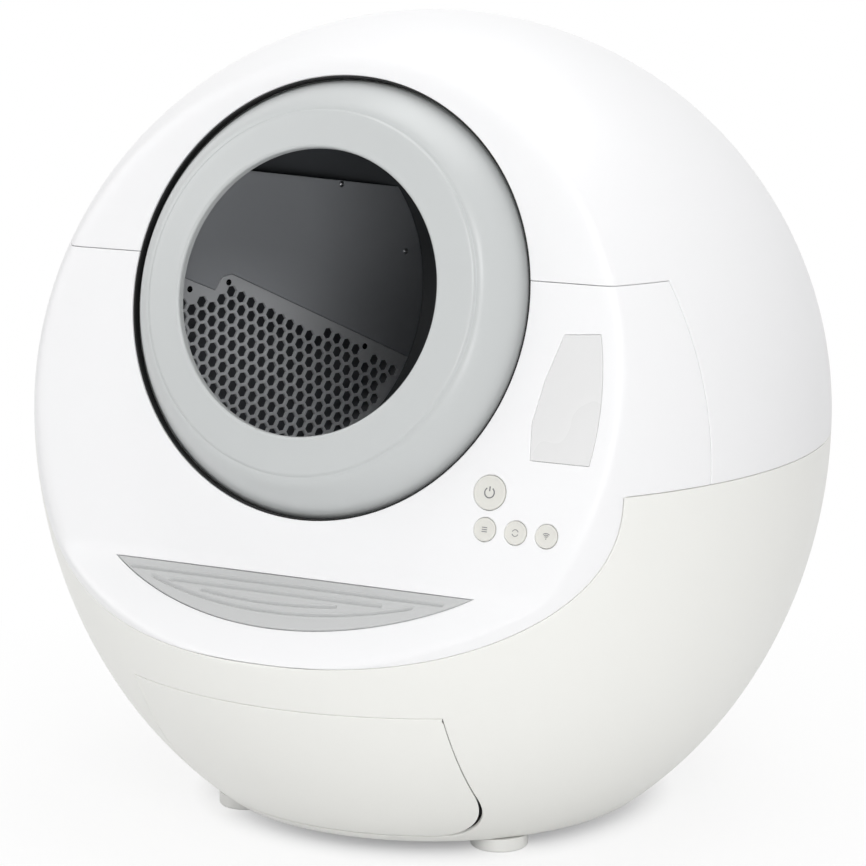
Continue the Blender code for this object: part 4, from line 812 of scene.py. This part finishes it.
class LITTERBOX_OT_stage(bpy.types.Operator):
    """Pale floor, soft lamps and the camera at the photograph's angle"""

    bl_idname = "litterbox.stage"
    bl_label = "Stage"

    def execute(self, context):
        scene = context.scene
        scene.view_settings.view_transform = "Standard"
        turn, rise, distance = CAMERA_PLACE
        camera = bpy.data.objects.new("camera", bpy.data.cameras.new("camera"))
        camera.matrix_world = (Matrix.Translation(CAMERA_TARGET)
                               @ Matrix.Rotation(math.radians(turn), 4, "Z")
                               @ Matrix.Rotation(math.radians(90 - rise), 4, "X")
                               @ Matrix.Translation((0, 0, distance)))
        for key, value in CAMERA.items():
            setattr(camera.data, key, value)
        scene.collection.objects.link(camera)
        scene.camera = camera

        sheet = bpy.data.meshes.new("floor")
        corners = ((-1, -1), (1, -1), (1, 1), (-1, 1))
        sheet.from_pydata([(x * FLOOR_REACH, y * FLOOR_REACH, 0) for x, y in corners], [], [(0, 1, 2, 3)])
        floor = bpy.data.objects.new("floor", sheet)
        scene.collection.objects.link(floor)
        sheet.materials.append(self.floor_material())

        world = bpy.data.worlds.new("studio")
        scene.world = world
        world.use_nodes = True
        tree = world.node_tree
        for node in list(tree.nodes):
            tree.nodes.remove(node)
        room, white = (add_node(tree, "Background", {"Color": WHITE, "Strength": level}).outputs[0]
                       for level in (ROOM_LEVEL, 1.0))
        mix = add_node(tree, "MixShader", links={0: self.eye_rays(tree), 1: room, 2: white})
        add_node(tree, "OutputWorld", links={"Surface": mix.outputs[0]})
        for lamp in LAMPS:
            self.lamp(scene, *lamp)
        return {"FINISHED"}

    @staticmethod
    def eye_rays(tree):
        """1 on the rays that show a background: from the camera, off gloss and through glass."""
        path = add_node(tree, "LightPath").outputs
        either = add_node(tree, "Math", {"operation": "MAXIMUM"},
                          {0: path["Is Camera Ray"], 1: path["Is Glossy Ray"]})
        return add_node(tree, "Math", {"operation": "MAXIMUM"},
                        {0: either.outputs[0], 1: path["Is Transmission Ray"]}).outputs[0]

    @staticmethod
    def lamp(scene, name, place, size, watts):
        """A square soft box aimed at the middle of the object."""
        data = bpy.data.lights.new(name, "AREA")
        data.size = size
        data.energy = watts
        item = bpy.data.objects.new(name, data)
        aim = Vector(place) - Vector(CAMERA_TARGET)
        item.matrix_world = Matrix.Translation(place) @ aim.to_track_quat("Z", "Y").to_matrix().to_4x4()
        scene.collection.objects.link(item)

    def floor_material(self):
        """White seamless paper: fully white far off for the eye, with soft shadows near the object."""
        material = bpy.data.materials.new("White seamless paper")
        material.use_nodes = True
        tree = material.node_tree
        paper = tree.nodes["Principled BSDF"]
        for socket, value in PAPER.items():
            paper.inputs[socket].default_value = value
        place = add_node(tree, "TexCoord").outputs["Object"]
        away = add_node(tree, "VectorMath", {"operation": "DISTANCE", 1: CAMERA_TARGET[:2] + (0,)},
                        {0: place}).outputs["Value"]
        shares = [add_node(tree, "MapRange", {"From Min": near, "From Max": far, "To Max": share},
                           {"Value": away}).outputs["Result"]
                  for near, far, share in FLOOR_GLOW]
        share = add_node(tree, "Math", {"operation": "ADD"}, dict(enumerate(shares))).outputs[0]
        glow = add_node(tree, "Emission", {"Color": WHITE, "Strength": 1.0}).outputs[0]
        bright = add_node(tree, "BsdfDiffuse", {"Color": BRIGHT}).outputs[0]
        both = add_node(tree, "MixShader", links={0: share, 1: bright, 2: glow})
        mix = add_node(tree, "MixShader",
                       links={0: self.eye_rays(tree), 1: paper.outputs[0], 2: both.outputs[0]})
        tree.links.new(mix.outputs[0], tree.nodes["Material Output"].inputs["Surface"])
        return material


class LITTERBOX_OT_shells(bpy.types.Operator):
    """Lid, base, front panel and drawer front, cut from one skin along their seams"""

    bl_idname = "litterbox.shells"
    bl_label = "Shells"

    def execute(self, context):
        sizes = context.scene.litter_box_sizes
        half = sizes.seam / 2
        skin = housing_skin(sizes.turns)

        def inset(field, sign=1):
            return lambda points: sign * field(points) - half

        def floor(points):
            return points[:, 2] + FLOOR_DROP

        def drawer_hole(points):
            return -drawer(points, DRAWER_HOLE_CORNER) - half

        def inlet_side(axis, sign):
            middle, reach = {0: (0, INLET_HALF[0]), 2: (-INLET_DROP, INLET_HALF[1])}[axis]
            return lambda points: sign * (points[:, axis] - middle) - reach

        lower, upper, outside_panel = inset(equator, -1), inset(equator), inset(panel, -1)
        edges = [inset(field, -1) for field in (panel_top, panel_back, panel_side)]

        def lid(points):
            return least(upper(points), outside_panel(points), ring_hole(points))

        self.shell("top_shell", skin, [upper, *edges, ring_hole], lid, "white", "lid", "white_shell", sizes)

        def base(points):
            return least(lower(points), outside_panel(points), floor(points), drawer_hole(points),
                         inlet_hole(points))

        drawer_edges = [lambda p: -DRAWER_TOP - p[:, 2] + half,
                        lambda p: np.abs(p[:, 0]) - DRAWER_HALF_WIDTH - half, drawer_hole]
        inlet_edges = [inlet_side(axis, sign) for axis in (0, 2) for sign in (-1, 1)]
        self.shell("base_shell", skin, [lower, floor, *edges, *drawer_edges, *inlet_edges], base, "warm",
                   "chassis", "warm_white_shell", sizes)

        def front(points):
            return least(inset(panel)(points), ring_hole(points), key_holes(points), display_hole(points),
                         pad_hole(points))

        display_lines = [lambda p, side=side: side(on_face(p)) for side in side_lines(DISPLAY_OUTLINE)[:-1]]
        lines = [*map(inset, (panel_top, panel_back, panel_side)), ring_hole, key_holes, *display_lines,
                 display_hole, lambda p: on_chin(p)[:, 1] + PAD_SETBACK, pad_hole]
        self.shell("front_panel", skin, lines, front, "white", "chassis", "white_shell", sizes)

        def door(points):
            """The gap grows from half a seam to DRAWER_GAP towards the drawer's lower edge."""
            low = np.clip((-DRAWER_TOP - points[:, 2]) / (DRAWER_BOTTOM - DRAWER_TOP), 0, 1)
            return drawer(points) - half - (DRAWER_GAP - half) * low ** 2

        door_edges = [lambda p: -DRAWER_TOP - p[:, 2] - half, door]
        self.shell("drawer_front", skin, door_edges, door, "warm", "drawer", "warm_white_shell", sizes)
        return {"FINISHED"}

    @staticmethod
    def shell(name, skin, lines, region, look, body, slot, sizes):
        """One shell of the housing, cut out of the skin."""
        points, normals, triangles = skin
        near = region(points)[triangles].max(axis=1) > -SKIN_CELL
        surface = trimmed((points, normals, triangles[near]), lines, region)
        points, triangles = rolled(surface, region, sizes.roll, sizes.wall)
        add_piece(name, (points + CENTRE, triangles), body, slot, look)


class LITTERBOX_OT_pad(bpy.types.Operator):
    """Crescent step pad with its long grooves"""

    bl_idname = "litterbox.pad"
    bl_label = "Step Pad"

    def execute(self, context):
        sizes = context.scene.litter_box_sizes
        sheet = plane_sheet(*PAD_SHEET)

        def inside(points):
            return pad_inside(points) - PAD_GAP

        surface = trimmed(sheet, [lambda p: -PAD_SETBACK - PAD_GAP - p[:, 1], inside], inside)
        thickness = PAD_PROUD + PAD_RECESS - PAD_BED
        points, triangles = rolled(surface, inside, PAD_ROLL, thickness, PAD_STEPS)
        dip = sizes.groove * self.grooves(points) * np.clip(inside(points) / PAD_BORDER, 0, 1)
        points[:, 2] += PAD_PROUD - np.where(points[:, 2] > -thickness / 2, dip, 0)
        add_piece("step_pad", (to_world(points, CHIN), triangles), "chassis", "pad_grey", "pad")
        return {"FINISHED"}

    @staticmethod
    def grooves(points):
        """Two straight grooves and two arcs: exp(-(d/w)^2) of the distance d, less a low lip beside it."""
        x, drop = points[:, 0], -PAD_SETBACK - points[:, 1]
        away = np.full(len(points), FAR)
        for level, left, right in STRAIGHT_GROOVES:
            beyond = np.maximum(np.maximum(left - x, x - right), 0)
            away = np.minimum(away, np.hypot(drop - level, beyond))
        for radius, lowest, middle, half in CURVED_GROOVES:
            off = np.abs(np.hypot(x - middle, drop - lowest + radius) - radius)
            beyond = np.maximum(np.abs(x - middle) - half, 0)
            away = np.minimum(away, np.hypot(off, beyond))
        dip = np.exp(-(away / GROOVE_WIDTH) ** 2)
        height, place, width = GROOVE_LIP
        return dip - height * np.exp(-((away - place * GROOVE_WIDTH) / (width * GROOVE_WIDTH)) ** 2)


class LITTERBOX_OT_ring(bpy.types.Operator):
    """Grey ring round the entry and the front of the drum"""

    bl_idname = "litterbox.ring"
    bl_label = "Ring"

    def execute(self, context):
        base = FACE_DISTANCE - DRUM_FORWARD
        shoulder = base - NECK_DEPTH
        brow = base + RING_REACH - BROW_RISE
        top = base + RING_REACH
        inner = DRUM_RADIUS - DRUM_WALL
        split = DRUM_SPLIT + SPLIT_GAP
        low, high = (math.degrees(math.asin(level / DRUM_RADIUS)) for level in (split, shoulder))
        profile = list(arc((0, 0), DRUM_RADIUS, low, high, 14))
        profile += [(NECK_RADIUS + NECK_BEVEL, shoulder), (NECK_RADIUS, shoulder + NECK_BEVEL)]
        crest = brow - STEP_DROP
        profile += list(self.flank(NECK_RADIUS, base - FLANK_FOOT, crest, 30))
        profile += [(STEP_RADIUS - inset, brow + level) for inset, level in STEP_EDGE]
        start, end = BROW_ENDS
        profile += [(r, brow + (STEP_RADIUS - r) * BROW_SLOPE)
                    for r in np.linspace(STEP_RADIUS - start, ENTRY_RADIUS + end, 8)]
        profile += list(arc((ENTRY_RADIUS + LIP_ROLL, top - LIP_ROLL), LIP_ROLL, 80, 180, 10))
        profile += [(radius, brow - DRUM_WALL - drop) for radius, drop in RING_UNDERSIDE]
        inner_flank = self.flank(NECK_RADIUS - DRUM_WALL, base - FLANK_FOOT, crest - DRUM_WALL, 18)
        profile += [*inner_flank[::-1][1:], (NECK_RADIUS - DRUM_WALL, shoulder + NECK_STEP)]
        low, high = (math.degrees(math.asin(level / inner)) for level in (shoulder - DRUM_WALL, split))
        profile += list(arc((0, 0), inner, low, high, 12))
        add_piece("drum_front", turned(profile, 288, DRUM), "drum", "ring_grey", "ring")

        inner, lining, outer = SEAL_RADII
        low, ledge, lip = (base + level for level in SEAL_LEVELS)
        bevel = SEAL_BEVEL
        profile = [(inner, low), (outer, low), (outer, ledge), (lining, ledge), (lining, lip - bevel),
                   (lining - bevel, lip), (inner + bevel, lip), (inner, lip - bevel)]
        add_piece("drum_seal", turned(profile, DRUM_TURNS, DRUM), "chassis", "black_rubber", "seal")
        return {"FINISHED"}

    @staticmethod
    def flank(radius, foot, crest, steps):
        """A quadratic curve, (1 - t)^2 a + 2 t (1 - t) b + t^2 c, that leaves the neck at an angle."""
        lean = (crest - foot) * math.tan(FLANK_ANGLE)
        a, b, c = np.array([(radius, foot), (radius - lean, crest), (STEP_RADIUS, crest)])
        t = np.linspace(0, 1, steps)[:, None]
        return (1 - t) ** 2 * a + 2 * t * (1 - t) * b + t ** 2 * c


class LITTERBOX_OT_drum(bpy.types.Operator):
    """Round back of the drum with its waste port, tracks and hub"""

    bl_idname = "litterbox.drum"
    bl_label = "Drum"

    def execute(self, context):
        split = DRUM_SPLIT - SPLIT_GAP
        start = math.degrees(math.asin(split / DRUM_RADIUS))
        end = -math.degrees(math.acos((HUB_RADIUS - HUB_BEVEL) / DRUM_RADIUS))
        profile = arc((0, 0), DRUM_RADIUS, start, end, 90)
        surface = outward(carried(profile, DRUM_TURNS), grid_triangles(len(profile), DRUM_TURNS, True))

        def port_sides(points):
            across = np.abs(points[:, 0]) - PORT_HALF_WIDTH
            along = np.maximum(PORT_SPAN[0] - points[:, 2], points[:, 2] - PORT_SPAN[1])
            return across, along

        def port(points):
            across, along = port_sides(points)
            return np.where(points[:, 1] > 0, np.maximum(across, along), FAR)

        lowest = DRUM_RADIUS * math.sin(math.radians(end))

        def region(points):
            return least(port(points), split - points[:, 2] + RIM_SLACK, points[:, 2] - lowest + RIM_SLACK)

        surface = trimmed(surface, [lambda p: port_sides(p)[0], lambda p: port_sides(p)[1]], port)
        shell = rolled(surface, region, DRUM_ROLL, DRUM_WALL)
        parts = [(to_world(shell[0], DRUM), shell[1])]
        half = TRACK_WIDTH / 2
        for place, radius in TRACKS:
            low, high = place - half, place + half
            foot, head = ((math.sqrt((DRUM_RADIUS - DRUM_WALL / 2) ** 2 - z ** 2), z) for z in (low, high))
            profile = [foot, (radius - TRACK_BEVEL, low), (radius, low + TRACK_BEVEL),
                       (radius, high - TRACK_BEVEL), (radius - TRACK_BEVEL, high), head]
            parts.append(turned(profile, DRUM_TURNS, DRUM))
        tail = -DRUM_RADIUS - HUB_PROUD
        root = tail + HUB_LENGTH
        hub = [(BUSH_RADIUS, tail), (HUB_RADIUS - HUB_BEVEL, tail), (HUB_RADIUS, tail + HUB_BEVEL),
               (HUB_RADIUS, root), (BUSH_RADIUS, root)]
        parts.append(turned(hub, 64, DRUM))
        add_piece("drum_rear", joined(*parts), "drum", "drum_grey", "drum")
        return {"FINISHED"}


class LITTERBOX_OT_sieve(bpy.types.Operator):
    """Sieve with hexagonal holes, smooth divider over it, and their screws"""

    bl_idname = "litterbox.sieve"
    bl_label = "Sieve"

    def execute(self, context):
        half = SEPTUM_THICKNESS / 2

        def rim(points):
            """Distance inside the drum's hollow."""
            from_drum = np.linalg.norm(to_world(points, SEPTUM) - DRUM_CENTRE, axis=1)
            return DRUM_RADIUS - DRUM_WALL - PLATE_GAP - from_drum

        def bores(points):
            return least(*(away_from(points, x, y) for x, y in SIEVE_SCREWS + DIVIDER_SCREWS)) - SCREW_BORE

        def spokes(screws):
            """Straight lines through each screw, so that its bore has a point on every one."""
            return [lambda p, x=x, y=y, a=a: (p[:, 0] - x) * math.sin(a) - (p[:, 1] - y) * math.cos(a)
                    for x, y in screws for a in np.radians(np.arange(8) * 22.5)]

        def seam(points):
            """Distance under the seam line."""
            return polygon_distance(points, np.concatenate([SEAM_LINE, SEAM_FOOT]))

        def sieve(points):
            return least(rim(points), seam(points) - PLATE_SEAM, bores(points), self.comb(points, seam))

        lines = [rim, *side_lines(SEAM_LINE)[:4], lambda p: seam(p) - PLATE_SEAM, *spokes(SIEVE_SCREWS),
                 bores]
        shape = plate(self.honeycomb(*COMB_SPAN), lines, sieve, SEPTUM, half, SIEVE_ROLL,
                      SEPTUM_THICKNESS, SIEVE_STEPS)
        add_piece("sieve_plate", shape, "drum", "dark_plastic", "sieve")

        corners = np.concatenate([SEAM_LINE, CEILING_LINE[::-1]])

        def divider(points):
            return least(polygon_distance(points, corners) - PLATE_SEAM, rim(points), bores(points))

        lines = [rim, *side_lines(corners), *spokes(DIVIDER_SCREWS), divider]
        shape = plate(plane_sheet(*DIVIDER_SHEET), lines, divider, SEPTUM, half, DIVIDER_ROLL,
                      SEPTUM_THICKNESS)
        add_piece("divider_plate", shape, "drum", "drum_grey", "divider")

        for index, (x, y) in enumerate(SIEVE_SCREWS + DIVIDER_SCREWS):
            profile = [(0, -half), (SCREW_SHANK, -half), (SCREW_SHANK, half + SCREW_LIFT)]
            profile += list(arc((0, half - SCREW_DOME_DROP), *SCREW_DOME, 7))
            profile += [(SCREW_SOCKET[0], half + SCREW_SOCKET[1]), (0, half + SCREW_SOCKET[1])]
            look = "black steel" if (x, y) in SIEVE_SCREWS else "steel"
            add_piece(f"screw_{index + 1}", turned(profile, 32, moved(SEPTUM, x, y)), "drum", "steel", look)
        return {"FINISHED"}

    @staticmethod
    def honeycomb(low, high):
        """A flat sheet of six-sided cells: each has a middle, its hole's corners and its own corners."""
        i, j = (part.ravel() for part in np.meshgrid(np.arange(*COMB_COLUMNS), np.arange(*COMB_ROWS)))
        middles = cell_middles(i, j)
        middles = middles[(middles[:, 1] > low) & (middles[:, 1] < high)][:, None]
        angle = np.radians(60 * np.arange(6))
        corners = np.stack([np.cos(angle), np.sin(angle)], 1) / math.sqrt(3)
        cells = np.concatenate([middles, middles + corners * HOLE_FLATS,
                                middles + corners * HOLE_PITCH], axis=1)
        a = np.arange(6)
        b = (a + 1) % 6
        pattern = np.concatenate([np.stack([0 * a, a + 1, b + 1], 1), np.stack([a + 1, a + 7, b + 7], 1),
                                  np.stack([a + 1, b + 7, b + 1], 1)])
        triangles = (np.arange(len(cells))[:, None, None] * 13 + pattern).reshape(-1, 3)
        micron = np.round(cells.reshape(-1, 2) / SNAP).astype(int)
        _, first, index = np.unique(micron, axis=0, return_index=True, return_inverse=True)
        return flat(cells.reshape(-1, 2)[first], index.ravel()[triangles])

    @staticmethod
    def comb(points, seam):
        """Distance outside the open cells of a honeycomb with upright columns.

        The nearest cell comes from rounding to the lattice and trying the neighbours. The distance
        to a hexagon is the largest of its three width measures, less half the width over the flats.
        """
        nearest = np.round((points[:, 0] - HOLE_ANCHOR[0]) / HOLE_COLUMN)
        best = np.full(len(points), FAR)
        for step in (-1, 0, 1):
            i = nearest + step
            j = np.round((points[:, 1] - HOLE_ANCHOR[1]) / HOLE_PITCH - i % 2 / 2)
            centre = cell_middles(i, j)
            open_cell = np.linalg.norm(centre, axis=1) < SEPTUM_RADIUS - HOLE_RIM_MARGIN
            open_cell &= seam(centre) > SEAM_MARGIN
            for screw in SIEVE_SCREWS:
                open_cell &= away_from(centre, *screw) > SCREW_MARGIN
            dx, dy = np.abs(points[:, 0] - centre[:, 0]), np.abs(points[:, 1] - centre[:, 1])
            away = np.maximum(dy, dy / 2 + dx * math.sqrt(3) / 2) - HOLE_FLATS / 2
            best = np.minimum(best, np.where(open_cell, away, FAR))
        return best


class LITTERBOX_OT_display(bpy.types.Operator):
    """Pale display window in the face"""

    bl_idname = "litterbox.display"
    bl_label = "Display"

    def execute(self, context):
        outline = display_outline()

        def region(points):
            return polygon_distance(points, outline) - DISPLAY_GAP

        low, high = outline.min(axis=0) - DISPLAY_STEP, outline.max(axis=0) + DISPLAY_STEP
        sheet = plane_sheet(low, high, DISPLAY_STEP)
        shape = plate(sheet, [*side_lines(outline), region], region, FACE, -DISPLAY_SINK, DISPLAY_ROLL,
                      DISPLAY_THICKNESS)
        add_piece("display_window", shape, "chassis", "pale_window", "window")
        return {"FINISHED"}


class LITTERBOX_OT_buttons(bpy.types.Operator):
    """Four round buttons with printed signs"""

    bl_idname = "litterbox.buttons"
    bl_label = "Buttons"

    def execute(self, context):
        for (name, strokes), (x, y, radius) in zip(self.signs().items(), KEYS):
            flange = radius + KEY_FLANGE
            profile = [(0, KEY_FOOT), (flange, KEY_FOOT), (flange, KEY_LEDGE), (radius, KEY_LEDGE)]
            profile += list(arc((radius - KEY_EDGE, KEY_EDGE_LEVEL), KEY_EDGE, 0, 80, 7))
            profile += [(radius * share, level) for share, level in KEY_DISH]
            place = moved(FACE, x, y)
            body = turned(profile, 64, place)
            scale = radius / SIGN_RADIUS
            ink = [self.ribbon(np.array(line) * scale, width * scale, place) for line, width in strokes]
            shape = joined(body, *ink)
            marks = np.arange(len(shape[1])) >= len(body[1])
            add_piece(f"{name}_button", shape, f"{name}_key", "button_white", "key", "ink", marks=marks)
        return {"FINISHED"}

    @staticmethod
    def ribbon(line, width, place):
        """A flat stroke with square sides: the line moved half a width to each side, and raised."""
        ahead = np.gradient(line, axis=0)
        ahead /= np.linalg.norm(ahead, axis=1, keepdims=True)
        side = np.stack([-ahead[:, 1], ahead[:, 0]], 1) * width / 2
        low, high = SIGN_LEVELS
        rows = [np.column_stack([line + side * s, np.full(len(line), z)])
                for s, z in ((1, low), (1, high), (-1, high), (-1, low))]
        grid = np.stack(rows, axis=1)
        triangles = grid_triangles(len(line), 4, True)
        ends = np.array([[0, 1, 2], [0, 2, 3]])
        triangles = np.concatenate([triangles, ends, ends[:, ::-1] + (len(line) - 1) * 4])
        points = grid.reshape(-1, 3)
        return to_world(points, place), outward(points - points.mean(axis=0), triangles)[2]

    @staticmethod
    def signs():
        """Strokes and widths: a broken ring with a bar, three bars, two arcs, and arcs over a dot."""
        ring = arc((0, 0), 0.0030, 125, 415, 30)
        waves = [(arc((0, -0.0020), radius, 50, 130, 12), 0.0006) for radius in (0.0018, 0.0032, 0.0046)]
        return {"power": [(ring, 0.0007), ([(0, 0.0008), (0, 0.0022), (0, 0.0036)], 0.0007)],
                "mode": [([(-0.0024, y), (0, y), (0.0024, y)], 0.0007) for y in (-0.0018, 0, 0.0018)],
                "clean": [(arc((0, 0), 0.0028, turn, turn + 140, 16), 0.0006) for turn in (20, 200)],
                "wifi": waves + [([(0, -0.0024), (0, -0.0020), (0, -0.0016)], 0.0008)]}


class LITTERBOX_OT_feet(bpy.types.Operator):
    """Four round feet"""

    bl_idname = "litterbox.feet"
    bl_label = "Feet"

    def execute(self, context):
        for number in range(1, 5):
            low, high = (unit(*corner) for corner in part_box(f"foot_{number}"))
            x, y, _ = (low + high) / 2
            radius, top = (high[0] - low[0]) / 2, high[2]
            profile = [(0, FOOT_HOLLOW), *((radius - inset, level) for inset, level in FOOT_SOLE)]
            profile += list(arc((radius - FOOT_ROLL, FOOT_ROLL), FOOT_ROLL, -90, 0, 8))
            profile += [(radius, top - FOOT_BEVEL), (radius - FOOT_BEVEL, top), (0, top)]
            shape = turned(profile, 72, (unit(x, y, 0), np.eye(3)))
            add_piece(f"foot_{number}", shape, "chassis", "foot_white", "foot")
        return {"FINISHED"}


class LITTERBOX_OT_inside(bpy.types.Operator):
    """Finishes for the solids that stay as they are"""

    bl_idname = "litterbox.inside"
    bl_label = "Inside"

    looks = {"sieve": ("ring_gear", "drive_pinion", "roller_", "power_inlet"),
             "chassis": ("bottom_plate", "deck", "chute_collar", "roller_bracket", "rear_bracket",
                         "motor_bracket", "drawer_rail", "bag_frame"),
             "bin": ("drawer_bin",), "filter": ("filter_box",),
             "board": ("display_board", "button_board", "control_board"),
             "steel": ("rear_bush", "roller_axle", "pivot_pin", "drive_motor", "load_cell")}

    def execute(self, context):
        for name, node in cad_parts.items():
            fits = [(len(start), look) for look, starts in self.looks.items() for start in starts
                    if name.startswith(start)]
            if not fits:
                continue
            material = finish(max(fits)[1])
            for slot in node.material_slots:
                slot.material = material
        return {"FINISHED"}


class LITTERBOX_PT_pieces(bpy.types.Panel):
    """Lists the pieces that can be built"""

    bl_label = "Litter Box"
    bl_idname = "LITTERBOX_PT_pieces"
    bl_space_type = "VIEW_3D"
    bl_region_type = "UI"
    bl_category = "Litter Box"

    def draw(self, context):
        for operator in OPERATORS:
            self.layout.operator(operator.bl_idname)
        for group in (context.scene.litter_box_sizes, context.scene.litter_box_colours):
            for key in group.bl_rna.properties.keys():
                if key not in ("rna_type", "name"):
                    self.layout.prop(group, key)


OPERATORS = (LITTERBOX_OT_stage, LITTERBOX_OT_shells, LITTERBOX_OT_pad, LITTERBOX_OT_ring,
             LITTERBOX_OT_drum, LITTERBOX_OT_sieve, LITTERBOX_OT_display, LITTERBOX_OT_buttons,
             LITTERBOX_OT_feet, LITTERBOX_OT_inside)
CLASSES = (LitterBoxSizes, LitterBoxColours, *OPERATORS, LITTERBOX_PT_pieces)


def register():
    """Registers the classes and puts their settings on the scene."""
    for item in CLASSES:
        bpy.utils.register_class(item)
    bpy.types.Scene.litter_box_sizes = PointerProperty(type=LitterBoxSizes)
    bpy.types.Scene.litter_box_colours = PointerProperty(type=LitterBoxColours)


def unregister():
    """Takes the settings and classes away again."""
    del bpy.types.Scene.litter_box_colours
    del bpy.types.Scene.litter_box_sizes
    for item in reversed(CLASSES):
        bpy.utils.unregister_class(item)


def main():
    """Builds every piece."""
    register()
    bpy.ops.litterbox.stage()
    bpy.ops.litterbox.shells()
    bpy.ops.litterbox.pad()
    bpy.ops.litterbox.ring()
    bpy.ops.litterbox.drum()
    bpy.ops.litterbox.sieve()
    bpy.ops.litterbox.display()
    bpy.ops.litterbox.buttons()
    bpy.ops.litterbox.feet()
    bpy.ops.litterbox.inside()


if __name__ == "__main__":
    main()
